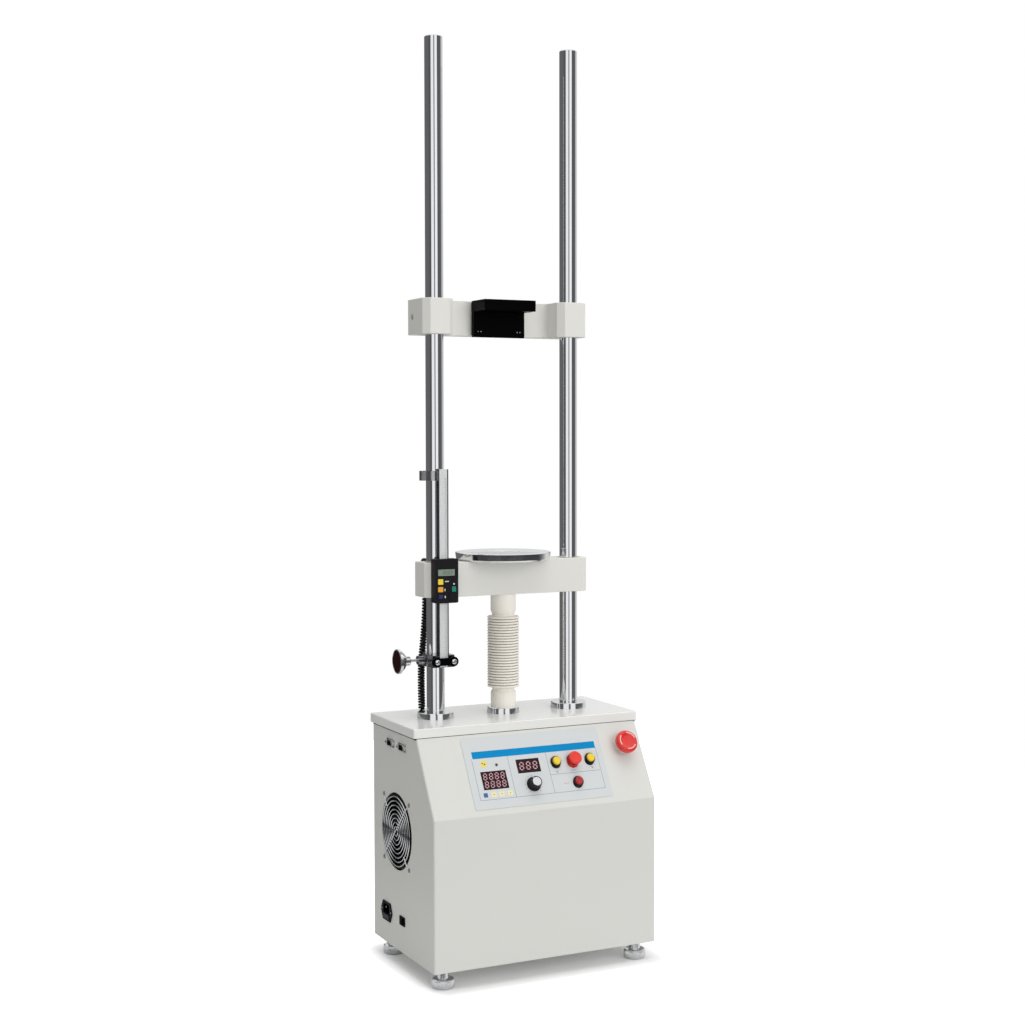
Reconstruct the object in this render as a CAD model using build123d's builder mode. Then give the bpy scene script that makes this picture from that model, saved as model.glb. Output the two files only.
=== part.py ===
from build123d import *
import os
from math import atan2, cos, pi, radians, sin, tan

os.makedirs("parts", exist_ok=True)

# Motorised two-column test stand for tension and compression tests, in millimetres.
# The origin is on the floor under the test axis, midway between the two columns.
# +Z is up, -Y is the operator's side and +X is to the operator's right.

# General clearances
fit = 0.05
gap = 0.3
sheet_play = 0.2

# Levelling feet
foot_height = 29.5
foot_radius = 18.3
foot_side_inset = 25.25
foot_end_inset = 24.0
foot_ring_height = 15.0
foot_neck_radius = 9.0
foot_stud_radius = 5.0
foot_bevel = 2.0
foot_edge = 1.0
foot_stud_reach = 20.0

# Housing of folded sheet steel with a sloping control panel
housing_width = 398.5
housing_height = 358.5
housing_front = -163.0
housing_back = 87.0
slope_top_y = -93.5
slope_drop = 118.5
sheet = 2.0
fold_radius = 3.0
top_flange = 16.0
floor_sheet = 3.0

# Top plate
plate_thickness = 14.5
plate_side_overhang = 4.0
plate_front_overhang = 1.0
plate_back_overhang = 5.5
plate_corner = 3.0
plate_edge = 1.0

# Columns and the collars at their feet
column_spacing = 247.2
column_radius = 15.0
column_height = 1110.0
column_chamfer = 2.0
collar_radius = 30.7
collar_height = 10.0
turned_edge = 0.8

# Lead screw, its rotating nut and the bearings under the top plate
screw_radius = 12.0
screw_length = 433.0
screw_seat = 45.0
screw_chamfer = 2.0
nut_radius = 20.0
nut_setback = 1.0
nut_flange_radius = 26.0
nut_flange_height = 5.0
bearing_radius = 35.0
bearing_height = 14.0
bearing_gap = 14.0
bearing_wall = 10.0
bearing_shoulder = 14.0
bearing_flange_radius = 62.0
bearing_flange_height = 12.0
bearing_bolt_circle = 52.0
bearing_bolt_radius = 4.0
bearing_bolt_depth = 10.0
bearing_bolts = 6
bearing_throat = 4.0

# Toothed belt drive and motor
pulley_height = 24.0
pulley_drop = 4.0
big_teeth = 36
small_teeth = 15
tooth_pitch = 7.0
tooth_depth = 2.0
belt_thickness = 3.0
belt_width = 20.0
motor_offset = 110.0
motor_radius = 42.0
motor_length = 130.0
motor_shaft_radius = 7.0
motor_shaft_depth = 22.0
bracket_plate = 8.0
bracket_hole_play = 4.0
gearbox_width = 80.0
gearbox_length = 43.0
gearbox_corner = 8.0
motor_edge = 4.0
bracket_clearance = 8.0
post_radius = 6.0
post_x = 40.0
post_y = 47.0

# Boot round the lead screw
boot_ring_radius = 27.5
boot_ring_height = 10.0
boot_bore = 14.0
boot_radius = 26.6
boot_fold_depth = 4.0
boot_folds = 26
boot_cuff_radius = 21.0
boot_cuff_height = 28.0
boot_top_cuff = 30.4
boot_cuff_bevel = 2.0
boot_shoulder = 5.0
boot_neck_radius = 17.0
boot_neck_height = 5.0

# Moving crosshead and the compression plate on it
crosshead_rise = 200.0
crosshead_end = 26.4
crosshead_depth = 50.0
crosshead_height = 57.0
crosshead_chamfer = 10.0
crosshead_back_fillet = 3.0
crosshead_edge = 1.5
bush_radius = 20.0
table_radius = 80.0
table_thickness = 13.0
table_bevel = 3.0
table_chamfer = 1.0
table_stud_radius = 4.0
table_stud_length = 10.0

# Upper crosshead, clamped on the columns, and its bracket for a load cell
upper_rise = 629.0
upper_height = 58.0
upper_front = -22.0
upper_back = 50.0
upper_block_inner = 27.6
upper_bar_front = 26.0
upper_chamfer = 10.0
upper_throat_fillet = 9.0
upper_edge = 1.0
clamp_slit = 2.0
clamp_screw_y = 31.0
clamp_head_radius = 5.0
clamp_head_height = 6.0
clamp_head_depth = 12.0
clamp_shank_radius = 3.0
clamp_shank_length = 32.0
clamp_socket_radius = 2.9
clamp_socket_depth = 3.0
bracket_width = 94.0
bracket_back_plate = 7.0
bracket_spacer_thickness = 6.0
bracket_spacer_margin = 2.0
bracket_reach = 43.0
bracket_lip = 18.0
bracket_drop = 2.0
bracket_edge = 0.6
load_bore = 6.6

# Measuring scale in front of the left column, with its clamps and display
rail_width = 16.0
rail_thickness = 4.0
rail_inset = 1.0
rail_back = -32.0
rail_rise = 409.5
rail_groove = 2.4
rail_groove_depth = 0.6
clamp_height = 20.0
clamp_rise = 86.5
clamp_ring_radius = 22.0
clamp_lug_width = 39.0
clamp_lug_back = -12.0
knob_axis_y = 0.0
boss_radius = 7.5
boss_reach = 32.5
upper_ring_rise = 390.5
upper_ring_height = 16.0
upper_ring_radius = 19.5
ear_reach = 26.0
ear_width = 9.0
ear_slit = 1.6
link_end_radius = 8.0
link_waist = 12.0
link_thickness = 5.0
link_play = 0.3
link_screw_spacing = 29.4
link_screw_radius = 2.5
link_head_radius = 4.5
link_head_height = 3.0
link_head_edge = 1.2
link_screw_grip = 6.0
link_hole_depth = 8.0
knob_radius = 20.0
knob_thickness = 6.0
knob_rim_step = 1.5
knob_flare_length = 7.5
knob_hub_radius = 7.8
knob_hub_length = 9.0
knob_stem_radius = 2.5
knob_stem_length = 14.0
knob_edge = 1.0
case_width = 41.0
case_shift = 2.0
case_depth = 16.5
case_height = 72.0
case_drop = 7.7
case_play = 0.5
case_corner = 3.0
case_cover_width = 16.0
case_cover_height = 17.0
case_cover_proud = 1.2
case_cover_margin = 0.5
case_cover_corner = 1.5
key_proud = 1.4
key_depth = 2.4
key_back_play = 1.2
key_play = 0.3
key_corner = 1.0
lcd_x = -0.4
lcd_z = 49.7
lcd_width = 30.7
lcd_height = 11.0
lcd_depth = 0.6

# Curly cord from the crosshead to the top plate
cord_radius = 5.25
cord_neck_radius = 5.0
cord_neck_depth = 4.0
cord_neck_rise = 47.5
cord_dome_radius = 5.6
cord_dome_rise = 55.5
grommet_radius = 6.0
grommet_spigot_radius = 4.0
grommet_spigot = 4.0
bend_share = 0.45
# Each corner of the cord: x from the left column, y, z above the top plate
cord_corners = [
    (-4.4, 36.0, 237.5),
    (-4.4, 36.0, 209.5),
    (-6.8, 36.2, 159.5),
    (-10.4, 36.4, 109.5),
    (-11.6, 36.4, 55.5),
    (-9.6, 36.0, 25.5),
    (-9.6, 36.0, 5.5),
]

# Control panel on the slope: x across, s down the slope from its top edge
# The x places hold for a film of the drawn width and spread with a wider or narrower housing
film_thickness = 0.8
film_drawn_width = 248.0
film_margin = 75.25
film_shift = -1.0
film_top = 7.0
film_bottom = 127.0
film_corner = 3.0
window_play = 0.2
window_rim = 2.0
window_proud = 0.2
drawn_windows = [(-81.0, 80.5, 44.0, 30.0), (-16.5, 62.0, 41.0, 23.0)]
# Each push button: x, s, cap radius, collar radius
drawn_buttons = {
    "up_button": (33.5, 60.0, 6.8, 9.2),
    "stop_button": (65.0, 60.0, 8.8, 11.0),
    "down_button": (96.5, 60.0, 6.8, 9.2),
    "power_button": (65.0, 97.0, 6.8, 9.2),
}
button_collar_height = 4.0
button_collar_taper = 12.0
button_barrel_wall = 1.4
button_barrel_depth = 16.0
button_barrel_floor = 2.0
button_proud = 3.5
button_skirt = 6.0
button_edge = 1.5
button_stem_radius = 2.5
button_stem_tail = 4.0
mushroom_radius = 10.3
mushroom_lift = 2.9
mushroom_height = 4.3
mushroom_edge = 1.2
drawn_knob = (-15.0, 94.0)
dial_radius = 12.0
dial_top_radius = 10.0
dial_height = 14.0
dial_skirt = 3.0
dial_taper = 4.0
dial_shaft_radius = 3.0
dial_shaft_depth = 12.0
estop_wall_inset = 35.25
estop_s = 42.5
estop_head_radius = 18.5
estop_head_height = 12.0
estop_head_bevel = 2.0
estop_crown = 3.0
estop_lift = 10.0
estop_ring_radius = 14.5
estop_ring_height = 4.0
estop_ring_taper = 10.0
estop_barrel_radius = 11.0
estop_barrel_depth = 22.0
estop_block_size = 30.0
estop_block_depth = 24.0
estop_block_corner = 2.0
estop_plunger_radius = 6.0
estop_plunger_seat = 3.0
estop_plunger_tail = 15.0

# Left side: fan, mains inlet, rocker switch and data sockets, by y and z
fan_y = -12.0
fan_z = 223.4
fan_opening = 63.0
fan_size = 120.0
fan_depth = 38.0
fan_bore = 58.0
fan_plate = 4.0
fan_corner = 4.0
fan_duct_wall = 1.8
fan_rotor_gap = 4.0
fan_shaft_play = 1.0
fan_blade_root = 2.0
fan_tip_gap = 1.0
fan_hub_radius = 22.0
fan_blade_radius = 55.0
fan_blades = 7
fan_blade_thickness = 2.0
fan_blade_chord = 26.0
fan_blade_pitch = 38.0
fan_strut_width = 7.0
fan_rotor_depth = 26.0
fan_shaft_radius = 3.0
fan_screw_spacing = 105.0
fan_screw_hole = 2.2
guard_wire = 1.1
guard_rings = 8
guard_first_ring = 7.5
guard_ring_pitch = 7.0
guard_overlap = 3.0
inlet_y = 30.5
inlet_z = 81.6
inlet_width = 47.0
inlet_height = 31.0
inlet_cut = 8.0
inlet_flange = 1.8
inlet_body_width = 31.0
inlet_body_height = 27.0
inlet_body_depth = 30.0
socket_width = 24.5
socket_height = 16.0
socket_depth = 20.0
socket_corner = 2.0
socket_rise = 4.0
pin_long = 4.0
pin_short = 2.0
pin_length = 12.0
pin_spacing = 7.0
pin_drop = 2.0
earth_pin_rise = 2.5
fuse_width = 24.0
fuse_height = 7.0
fuse_depth = 18.0
fuse_drop = 8.5
fuse_lip = 1.0
rocker_y = -35.5
rocker_z = 81.6
rocker_frame_width = 21.5
rocker_frame_height = 15.0
rocker_frame_corner = 1.5
rocker_flange = 1.4
rocker_catch = 1.0
rocker_floor = 3.0
rocker_body_depth = 16.0
rocker_wall = 1.8
rocker_play = 0.4
rocker_swing = 16.0
rocker_pivot_depth = 3.0
rocker_horn = 1.6
rocker_horn_inset = 1.2
rocker_foot_inset = 2.0
rocker_keel = 5.0
data_socket_ys = (11.0, -38.0)
data_socket_drop = 23.0
data_flange_width = 31.0
data_flange_height = 12.5
data_flange = 1.0
data_shell_width = 18.0
data_shell_height = 9.4
data_shell_depth = 3.6
data_corner = 1.5
data_body_depth = 8.0
data_stud_tail = 2.0
data_wall = 0.8
data_taper = 10.0
data_post_spacing = 25.0
data_post_radius = 2.6
data_post_height = 3.4

# Rear panel vents and the drive unit on the floor of the housing
vent_count = 8
vent_length = 46.0
vent_width = 5.0
vent_pitch = 11.0
vent_x = 100.0
vent_z = 140.0
drive_width = 110.0
drive_depth = 96.0
drive_height = 92.0
drive_corner = 3.0
drive_wall_gap = 51.0
drive_y = 4.0
drive_fins = 7
drive_fin_height = 14.0
drive_fin_thickness = 3.0

# Heights and places that follow from the sizes above
base_z = foot_height
top_z = base_z + housing_height
fold_z = top_z - slope_drop
plate_z = top_z + plate_thickness
half_width = housing_width / 2
column_x = column_spacing / 2
half_beam = column_x + crosshead_end
crosshead_bottom = plate_z + crosshead_rise
crosshead_top = crosshead_bottom + crosshead_height
crosshead_front = -crosshead_depth / 2
upper_bottom = plate_z + upper_rise
upper_top = upper_bottom + upper_height
case_bottom = crosshead_bottom - case_drop
clamp_bottom = plate_z + clamp_rise
cord_route = [(x - column_x, y, z + plate_z) for x, y, z in cord_corners]
data_socket_z = top_z - data_socket_drop
floor_z = base_z + floor_sheet
slope_run = slope_top_y - housing_front
slope_angle = atan2(slope_run, slope_drop)
film_width = housing_width - 2 * film_margin
spread = film_width / film_drawn_width
windows = [(x * spread, s, width, height) for x, s, width, height in drawn_windows]
button_places = {name: (x * spread, *rest) for name, (x, *rest) in drawn_buttons.items()}
knob_place = (drawn_knob[0] * spread, drawn_knob[1])
estop_place = (half_width - estop_wall_inset, estop_s)

panel = Plane(
    origin=(0, slope_top_y, top_z),
    x_dir=(1, 0, 0),
    z_dir=(0, -cos(slope_angle), sin(slope_angle)),
)
left_side = Plane(origin=(-half_width, 0, 0), x_dir=(0, -1, 0), z_dir=(-1, 0, 0))


def on_panel(x, s, height=0.0):
    """Plane parallel to the control panel, at x across and s down the slope."""
    return Plane(panel.location * Pos(x, -s, height))


def on_side(y, z, height=0.0):
    """Plane parallel to the left wall, facing outwards."""
    return Plane(left_side.location * Pos(-y, z, height))


def facing_front(x, y, z):
    """Plane that faces the operator, with its x to the operator's right."""
    return Plane(origin=(x, y, z), x_dir=(1, 0, 0), z_dir=(0, -1, 0))


foot_places = {
    "front_left": (-half_width + foot_side_inset, housing_front + foot_end_inset),
    "front_right": (half_width - foot_side_inset, housing_front + foot_end_inset),
    "rear_left": (-half_width + foot_side_inset, housing_back - foot_end_inset),
    "rear_right": (half_width - foot_side_inset, housing_back - foot_end_inset),
}
pieces = {}

# Housing shell: one folded sheet with openings for panel, fan, inlet, switch and sockets
with BuildPart() as housing_shell:
    with BuildSketch(Plane.YZ.offset(-half_width)):
        with BuildLine():
            Polyline(
                (housing_front, base_z),
                (housing_front, fold_z),
                (slope_top_y, top_z),
                (housing_back, top_z),
                (housing_back, base_z),
                close=True,
            )
        make_face()
    extrude(amount=housing_width)
    upright_folds = housing_shell.edges().filter_by(Axis.Z).group_by(Axis.Y)[0]
    slanted_folds = housing_shell.edges().filter_by(Axis((0, 0, 0), panel.y_dir))
    panel_fold = housing_shell.edges().filter_by(Axis.X).filter_by_position(Axis.Z, fold_z - 1, fold_z + 1)
    fillet(upright_folds + slanted_folds + panel_fold, fold_radius)
    floor_face = housing_shell.faces().sort_by(Axis.Z)[0]
    back_face = housing_shell.faces().sort_by(Axis.Y)[-1]
    offset(amount=-sheet, openings=[floor_face, back_face])
    with BuildSketch(Plane.XY.offset(top_z)):
        with Locations((0, (slope_top_y + housing_back) / 2)):
            Rectangle(housing_width - 2 * top_flange, housing_back - slope_top_y - 2 * top_flange)
    extrude(amount=-2 * sheet, mode=Mode.SUBTRACT)
    with BuildSketch(panel):
        for x, s, width, height in windows:
            with Locations((x, -s)):
                Rectangle(width - 2 * window_rim, height - 2 * window_rim)
        for x, s, cap_radius, ring_radius in button_places.values():
            with Locations((x, -s)):
                Circle(cap_radius + gap + button_barrel_wall + fit)
        with Locations((knob_place[0], -knob_place[1])):
            Circle(dial_shaft_radius + fit)
        with Locations((estop_place[0], -estop_place[1])):
            Circle(estop_barrel_radius + fit)
    extrude(amount=-2 * sheet, mode=Mode.SUBTRACT)
    with BuildSketch(left_side):
        with Locations((-fan_y, fan_z)):
            Circle(fan_opening)
            with GridLocations(fan_screw_spacing, fan_screw_spacing, 2, 2):
                Circle(fan_screw_hole)
        with Locations((-inlet_y, inlet_z)):
            Rectangle(inlet_body_width + 2 * sheet_play, inlet_body_height + 2 * sheet_play)
        with Locations((-rocker_y, rocker_z)):
            Rectangle(rocker_frame_width - 2 * rocker_wall, rocker_frame_height - 2 * rocker_catch)
        for y in data_socket_ys:
            with Locations((-y, data_socket_z)):
                Rectangle(data_shell_width + 2 * sheet_play, data_shell_height + 2 * sheet_play)
                with GridLocations(data_post_spacing, 1, 2, 1):
                    Circle(data_post_radius / 2 + fit)
    extrude(amount=-2 * sheet, mode=Mode.SUBTRACT)
pieces["housing_shell"] = housing_shell

# Rear panel with two columns of vent slots, set into the open back
inner_half = half_width - sheet - sheet_play
with BuildPart() as rear_panel:
    with BuildSketch(Plane.XZ.offset(-housing_back)):
        with Locations((0, (floor_z + sheet_play + top_z - sheet - sheet_play) / 2)):
            Rectangle(2 * inner_half, top_z - floor_z - sheet - 2 * sheet_play)
        for x in (-vent_x, vent_x):
            with Locations((x, vent_z + vent_pitch * (vent_count - 1) / 2)):
                with GridLocations(1, vent_pitch, 1, vent_count):
                    SlotOverall(vent_length, vent_width, mode=Mode.SUBTRACT)
    extrude(amount=sheet)
pieces["rear_panel"] = rear_panel

# Floor sheet with the four tapped holes for the feet
with BuildPart() as bottom_plate:
    with BuildSketch(Plane.XY.offset(base_z)) as bottom_sketch:
        floor_front = housing_front + sheet + sheet_play
        with Locations((0, (floor_front + housing_back) / 2)):
            Rectangle(2 * inner_half, housing_back - floor_front)
        chamfer(bottom_sketch.vertices().group_by(Axis.Y)[0], fold_radius)
        with Locations(*foot_places.values()):
            Circle(foot_stud_radius + fit, mode=Mode.SUBTRACT)
    extrude(amount=floor_sheet)
pieces["bottom_plate"] = bottom_plate

# Top plate that carries columns, bearing housing and motor
plate_front = slope_top_y - plate_front_overhang
plate_back = housing_back + plate_back_overhang
with BuildPart() as top_plate:
    with BuildSketch(Plane.XY.offset(top_z)):
        with Locations((0, (plate_front + plate_back) / 2)):
            RectangleRounded(
                housing_width + 2 * plate_side_overhang, plate_back - plate_front, plate_corner
            )
    extrude(amount=plate_thickness)
    chamfer(top_plate.faces().sort_by(Axis.Z)[-1].edges(), plate_edge)
    with BuildSketch(Plane.XY.offset(plate_z)):
        with Locations((-column_x, 0), (column_x, 0)):
            Circle(column_radius + fit)
        Circle(boot_bore)
        with Locations(cord_route[-1][:2]):
            Circle(grommet_spigot_radius + fit)
    extrude(amount=-plate_thickness, mode=Mode.SUBTRACT)
    with BuildSketch(Plane.XY.offset(top_z)):
        with PolarLocations(bearing_bolt_circle, bearing_bolts):
            Circle(bearing_bolt_radius)
    extrude(amount=bearing_bolt_depth, mode=Mode.SUBTRACT)
pieces["top_plate"] = top_plate

# Ground and chromed guide columns, set through the top plate
with BuildPart() as columns:
    with BuildSketch(Plane.XY.offset(top_z)):
        with Locations((-column_x, 0), (column_x, 0)):
            Circle(column_radius)
    extrude(amount=plate_thickness + column_height)
    chamfer(columns.faces().filter_by(Axis.Z).group_by(Axis.Z)[-1].edges(), column_chamfer)
pieces["columns"] = columns

# Chromed collars that seat the columns on the plate
with BuildPart() as column_collars:
    with BuildSketch(Plane.XY.offset(plate_z)):
        with Locations((-column_x, 0), (column_x, 0)):
            Circle(collar_radius)
            Circle(column_radius + fit, mode=Mode.SUBTRACT)
    extrude(amount=collar_height)
    chamfer(column_collars.faces().filter_by(Axis.Z).group_by(Axis.Z)[-1].edges(), turned_edge)
pieces["column_collars"] = column_collars

# Chromed ring that holds the foot of the boot
with BuildPart() as boot_ring:
    with BuildSketch(Plane.XY.offset(plate_z)):
        Circle(boot_ring_radius)
        Circle(boot_bore, mode=Mode.SUBTRACT)
    extrude(amount=boot_ring_height)
    chamfer(boot_ring.faces().filter_by(Axis.Z).sort_by(Axis.Z)[-1].edges(), turned_edge)
pieces["boot_ring"] = boot_ring

# Folded boot: a cuff, a neck, the folds, a neck and a cuff, turned about the test axis
boot_bottom = plate_z + boot_ring_height
folds_bottom = boot_bottom + boot_cuff_height + boot_neck_height
folds_top = crosshead_bottom - boot_top_cuff - boot_shoulder - boot_cuff_bevel
boot_pitch = (folds_top - folds_bottom) / boot_folds
with BuildPart() as boot:
    with BuildSketch(Plane.XZ):
        with BuildLine():
            outline = [
                (boot_bore, boot_bottom),
                (boot_cuff_radius, boot_bottom),
                (boot_cuff_radius, boot_bottom + boot_cuff_height - boot_cuff_bevel),
                (boot_neck_radius, boot_bottom + boot_cuff_height),
                (boot_neck_radius, folds_bottom),
                (boot_radius - boot_fold_depth, folds_bottom),
            ]
            for fold in range(boot_folds):
                outline.append((boot_radius, folds_bottom + (fold + 0.5) * boot_pitch))
                outline.append((boot_radius - boot_fold_depth, folds_bottom + (fold + 1) * boot_pitch))
            outline += [
                (boot_neck_radius, folds_top),
                (boot_neck_radius, folds_top + boot_cuff_bevel),
                (boot_cuff_radius, folds_top + boot_cuff_bevel + boot_shoulder),
                (boot_cuff_radius, crosshead_bottom),
                (boot_bore, crosshead_bottom),
            ]
            Polyline(*outline, close=True)
        make_face()
    revolve(axis=Axis.Z)
pieces["boot"] = boot

# Bearing housing, bolted under the top plate, with two ball bearings drawn as plain rings
bearing_top = top_z - bearing_shoulder
bearing_bottom = bearing_top - 2 * bearing_height - bearing_gap
with BuildPart() as bearing_housing:
    with BuildSketch(Plane.XZ):
        with BuildLine():
            Polyline(
                (nut_radius + bearing_throat, top_z),
                (bearing_flange_radius, top_z),
                (bearing_flange_radius, top_z - bearing_flange_height),
                (bearing_radius + bearing_wall, top_z - bearing_flange_height),
                (bearing_radius + bearing_wall, bearing_bottom),
                (bearing_radius + fit, bearing_bottom),
                (bearing_radius + fit, bearing_top),
                (nut_radius + bearing_throat, bearing_top),
                close=True,
            )
        make_face()
    revolve(axis=Axis.Z)
    with BuildSketch(Plane.XY.offset(top_z)):
        with PolarLocations(bearing_bolt_circle, bearing_bolts):
            Circle(bearing_bolt_radius)
    extrude(amount=-bearing_flange_height, mode=Mode.SUBTRACT)
    for z in (bearing_top - bearing_height - fit, bearing_bottom):
        with BuildSketch(Plane.XY.offset(z)):
            Circle(bearing_radius)
            Circle(nut_radius + fit, mode=Mode.SUBTRACT)
        extrude(amount=bearing_height)
pieces["bearing_housing"] = bearing_housing

# Spindle nut, turning in the bearings, with a flange under its pulley
pulley_top = bearing_bottom - pulley_drop
pulley_bottom = pulley_top - pulley_height
with BuildPart() as spindle_nut:
    with BuildSketch(Plane.XZ):
        with BuildLine():
            Polyline(
                (screw_radius + fit, bearing_top - nut_setback),
                (nut_radius, bearing_top - nut_setback),
                (nut_radius, pulley_bottom),
                (nut_flange_radius, pulley_bottom),
                (nut_flange_radius, pulley_bottom - nut_flange_height),
                (screw_radius + fit, pulley_bottom - nut_flange_height),
                close=True,
            )
        make_face()
    revolve(axis=Axis.Z)
pieces["spindle_nut"] = spindle_nut


def pitch_radius(teeth):
    """Radius at the tips of a belt pulley with this many teeth."""
    return teeth * tooth_pitch / (2 * pi)


big_radius = pitch_radius(big_teeth)
small_radius = pitch_radius(small_teeth)


def toothed_ring(radius, teeth):
    """Outline of a belt pulley: a disc with one rounded notch for each tooth gap."""
    Circle(radius)
    with PolarLocations(radius, teeth):
        Rectangle(2 * tooth_depth, tooth_pitch / 2, mode=Mode.SUBTRACT)


# Toothed pulley on the nut
with BuildPart() as nut_pulley:
    with BuildSketch(Plane.XY.offset(pulley_bottom)):
        toothed_ring(big_radius, big_teeth)
        Circle(nut_radius + fit, mode=Mode.SUBTRACT)
    extrude(amount=pulley_height)
pieces["nut_pulley"] = nut_pulley

# Small pulley with the shaft of the geared motor
bracket_top = pulley_bottom - bracket_clearance
bracket_bottom = bracket_top - bracket_plate
with BuildPart() as motor_pulley:
    with BuildSketch(Plane.XY.offset(pulley_bottom)):
        with Locations((motor_offset, 0)):
            toothed_ring(small_radius, small_teeth)
    extrude(amount=pulley_height)
    with BuildSketch(Plane.XY.offset(bracket_bottom - motor_shaft_depth)):
        with Locations((motor_offset, 0)):
            Circle(motor_shaft_radius)
    extrude(amount=motor_shaft_depth + bracket_plate + bracket_clearance)
pieces["motor_pulley"] = motor_pulley

# Toothed belt round both pulleys, as a closed band
belt_middle = (pulley_bottom + pulley_top) / 2
with BuildPart() as belt:
    for clearance, how in ((gap + belt_thickness, Mode.ADD), (gap, Mode.SUBTRACT)):
        with BuildSketch(Plane.XY.offset(belt_middle - belt_width / 2)):
            Circle(big_radius + clearance)
            with Locations((motor_offset, 0)):
                Circle(small_radius + clearance)
            make_hull()
        extrude(amount=belt_width, mode=how)
pieces["belt"] = belt

# Motor bracket: a plate that hangs on four posts under the top plate
with BuildPart() as motor_bracket:
    with BuildSketch(Plane.XY.offset(bracket_bottom)):
        with Locations((motor_offset, 0)):
            RectangleRounded(2 * post_x + 4 * post_radius, 2 * post_y + 4 * post_radius, post_radius)
            Circle(motor_shaft_radius + bracket_hole_play, mode=Mode.SUBTRACT)
    extrude(amount=bracket_plate)
    with BuildSketch(Plane.XY.offset(bracket_top)):
        with Locations((motor_offset, 0)):
            with GridLocations(2 * post_x, 2 * post_y, 2, 2):
                Circle(post_radius)
    extrude(amount=top_z - bracket_top)
pieces["motor_bracket"] = motor_bracket

# Motor with its gearbox, under the bracket
with BuildPart() as motor:
    with BuildSketch(Plane.XY.offset(bracket_bottom)):
        with Locations((motor_offset, 0)):
            RectangleRounded(gearbox_width, gearbox_width, gearbox_corner)
    extrude(amount=-gearbox_length)
    with BuildSketch(Plane.XY.offset(bracket_bottom - gearbox_length)):
        with Locations((motor_offset, 0)):
            Circle(motor_radius)
    extrude(amount=gearbox_length - motor_length)
    fillet(motor.faces().sort_by(Axis.Z)[0].edges(), motor_edge)
    with BuildSketch(Plane.XY.offset(bracket_bottom)):
        with Locations((motor_offset, 0)):
            Circle(motor_shaft_radius + fit)
    extrude(amount=-motor_shaft_depth - gap, mode=Mode.SUBTRACT)
pieces["motor"] = motor

# Drive unit with cooling fins, on the floor of the housing
drive_x = -half_width + drive_wall_gap + drive_width / 2
with BuildPart() as drive_unit:
    with BuildSketch(Plane.XY.offset(floor_z)):
        with Locations((drive_x, drive_y)):
            RectangleRounded(drive_width, drive_depth, drive_corner)
    extrude(amount=drive_height - drive_fin_height)
    with BuildSketch(Plane.XY.offset(floor_z + drive_height - drive_fin_height)):
        with Locations((drive_x, drive_y)):
            with GridLocations((drive_width - drive_fin_thickness) / (drive_fins - 1), 1, drive_fins, 1):
                Rectangle(drive_fin_thickness, drive_depth)
    extrude(amount=drive_fin_height)
pieces["drive_unit"] = drive_unit

# Levelling feet: a ring for the fingers, a neck and a threaded stud
for corner, (x, y) in foot_places.items():
    with BuildPart() as foot:
        with BuildSketch(Plane.XZ.offset(-y)):
            with BuildLine():
                Polyline(
                    (x, 0),
                    (x + foot_radius - foot_bevel, 0),
                    (x + foot_radius, foot_bevel),
                    (x + foot_radius, foot_ring_height - foot_edge),
                    (x + foot_radius - foot_edge, foot_ring_height),
                    (x + foot_neck_radius, foot_ring_height),
                    (x + foot_neck_radius, foot_height - gap),
                    (x + foot_stud_radius, foot_height - gap),
                    (x + foot_stud_radius, foot_height + foot_stud_reach),
                    (x, foot_height + foot_stud_reach),
                    close=True,
                )
            make_face()
        revolve(axis=Axis((x, y, 0), (0, 0, 1)))
    pieces[f"foot_{corner}"] = foot

# Moving crosshead beam with bores for the column bushes and the lead screw
with BuildPart() as crosshead_beam:
    with BuildSketch(Plane.XY.offset(crosshead_bottom)):
        Rectangle(2 * half_beam, crosshead_depth)
    extrude(amount=crosshead_height)
    front_edges = crosshead_beam.edges().filter_by(Axis.Z).group_by(Axis.Y)[0]
    chamfer(front_edges, crosshead_chamfer)
    back_edges = crosshead_beam.edges().filter_by(Axis.Z).group_by(Axis.Y)[-1]
    fillet(back_edges, crosshead_back_fillet)
    rim = crosshead_beam.faces().filter_by(Axis.Z).edges()
    fillet(rim, crosshead_edge)
    with BuildSketch(Plane.XY.offset(crosshead_bottom)):
        with Locations((-column_x, 0), (column_x, 0)):
            Circle(bush_radius + fit)
    extrude(amount=crosshead_height, mode=Mode.SUBTRACT)
    with BuildSketch(Plane.XY.offset(crosshead_bottom)):
        Circle(screw_radius + fit)
    extrude(amount=screw_seat, mode=Mode.SUBTRACT)
    with BuildSketch(Plane.XY.offset(crosshead_top)):
        Circle(table_stud_radius + fit)
    extrude(amount=-table_stud_length, mode=Mode.SUBTRACT)
    with BuildSketch(facing_front(cord_route[0][0], crosshead_depth / 2, crosshead_bottom + cord_neck_rise)):
        Circle(cord_neck_radius + fit)
    extrude(amount=cord_neck_depth, mode=Mode.SUBTRACT)
pieces["crosshead_beam"] = crosshead_beam

# Plain bushes that run on the columns
with BuildPart() as crosshead_bushes:
    with BuildSketch(Plane.XY.offset(crosshead_bottom)):
        with Locations((-column_x, 0), (column_x, 0)):
            Circle(bush_radius)
            Circle(column_radius + fit, mode=Mode.SUBTRACT)
    extrude(amount=crosshead_height)
pieces["crosshead_bushes"] = crosshead_bushes

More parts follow.
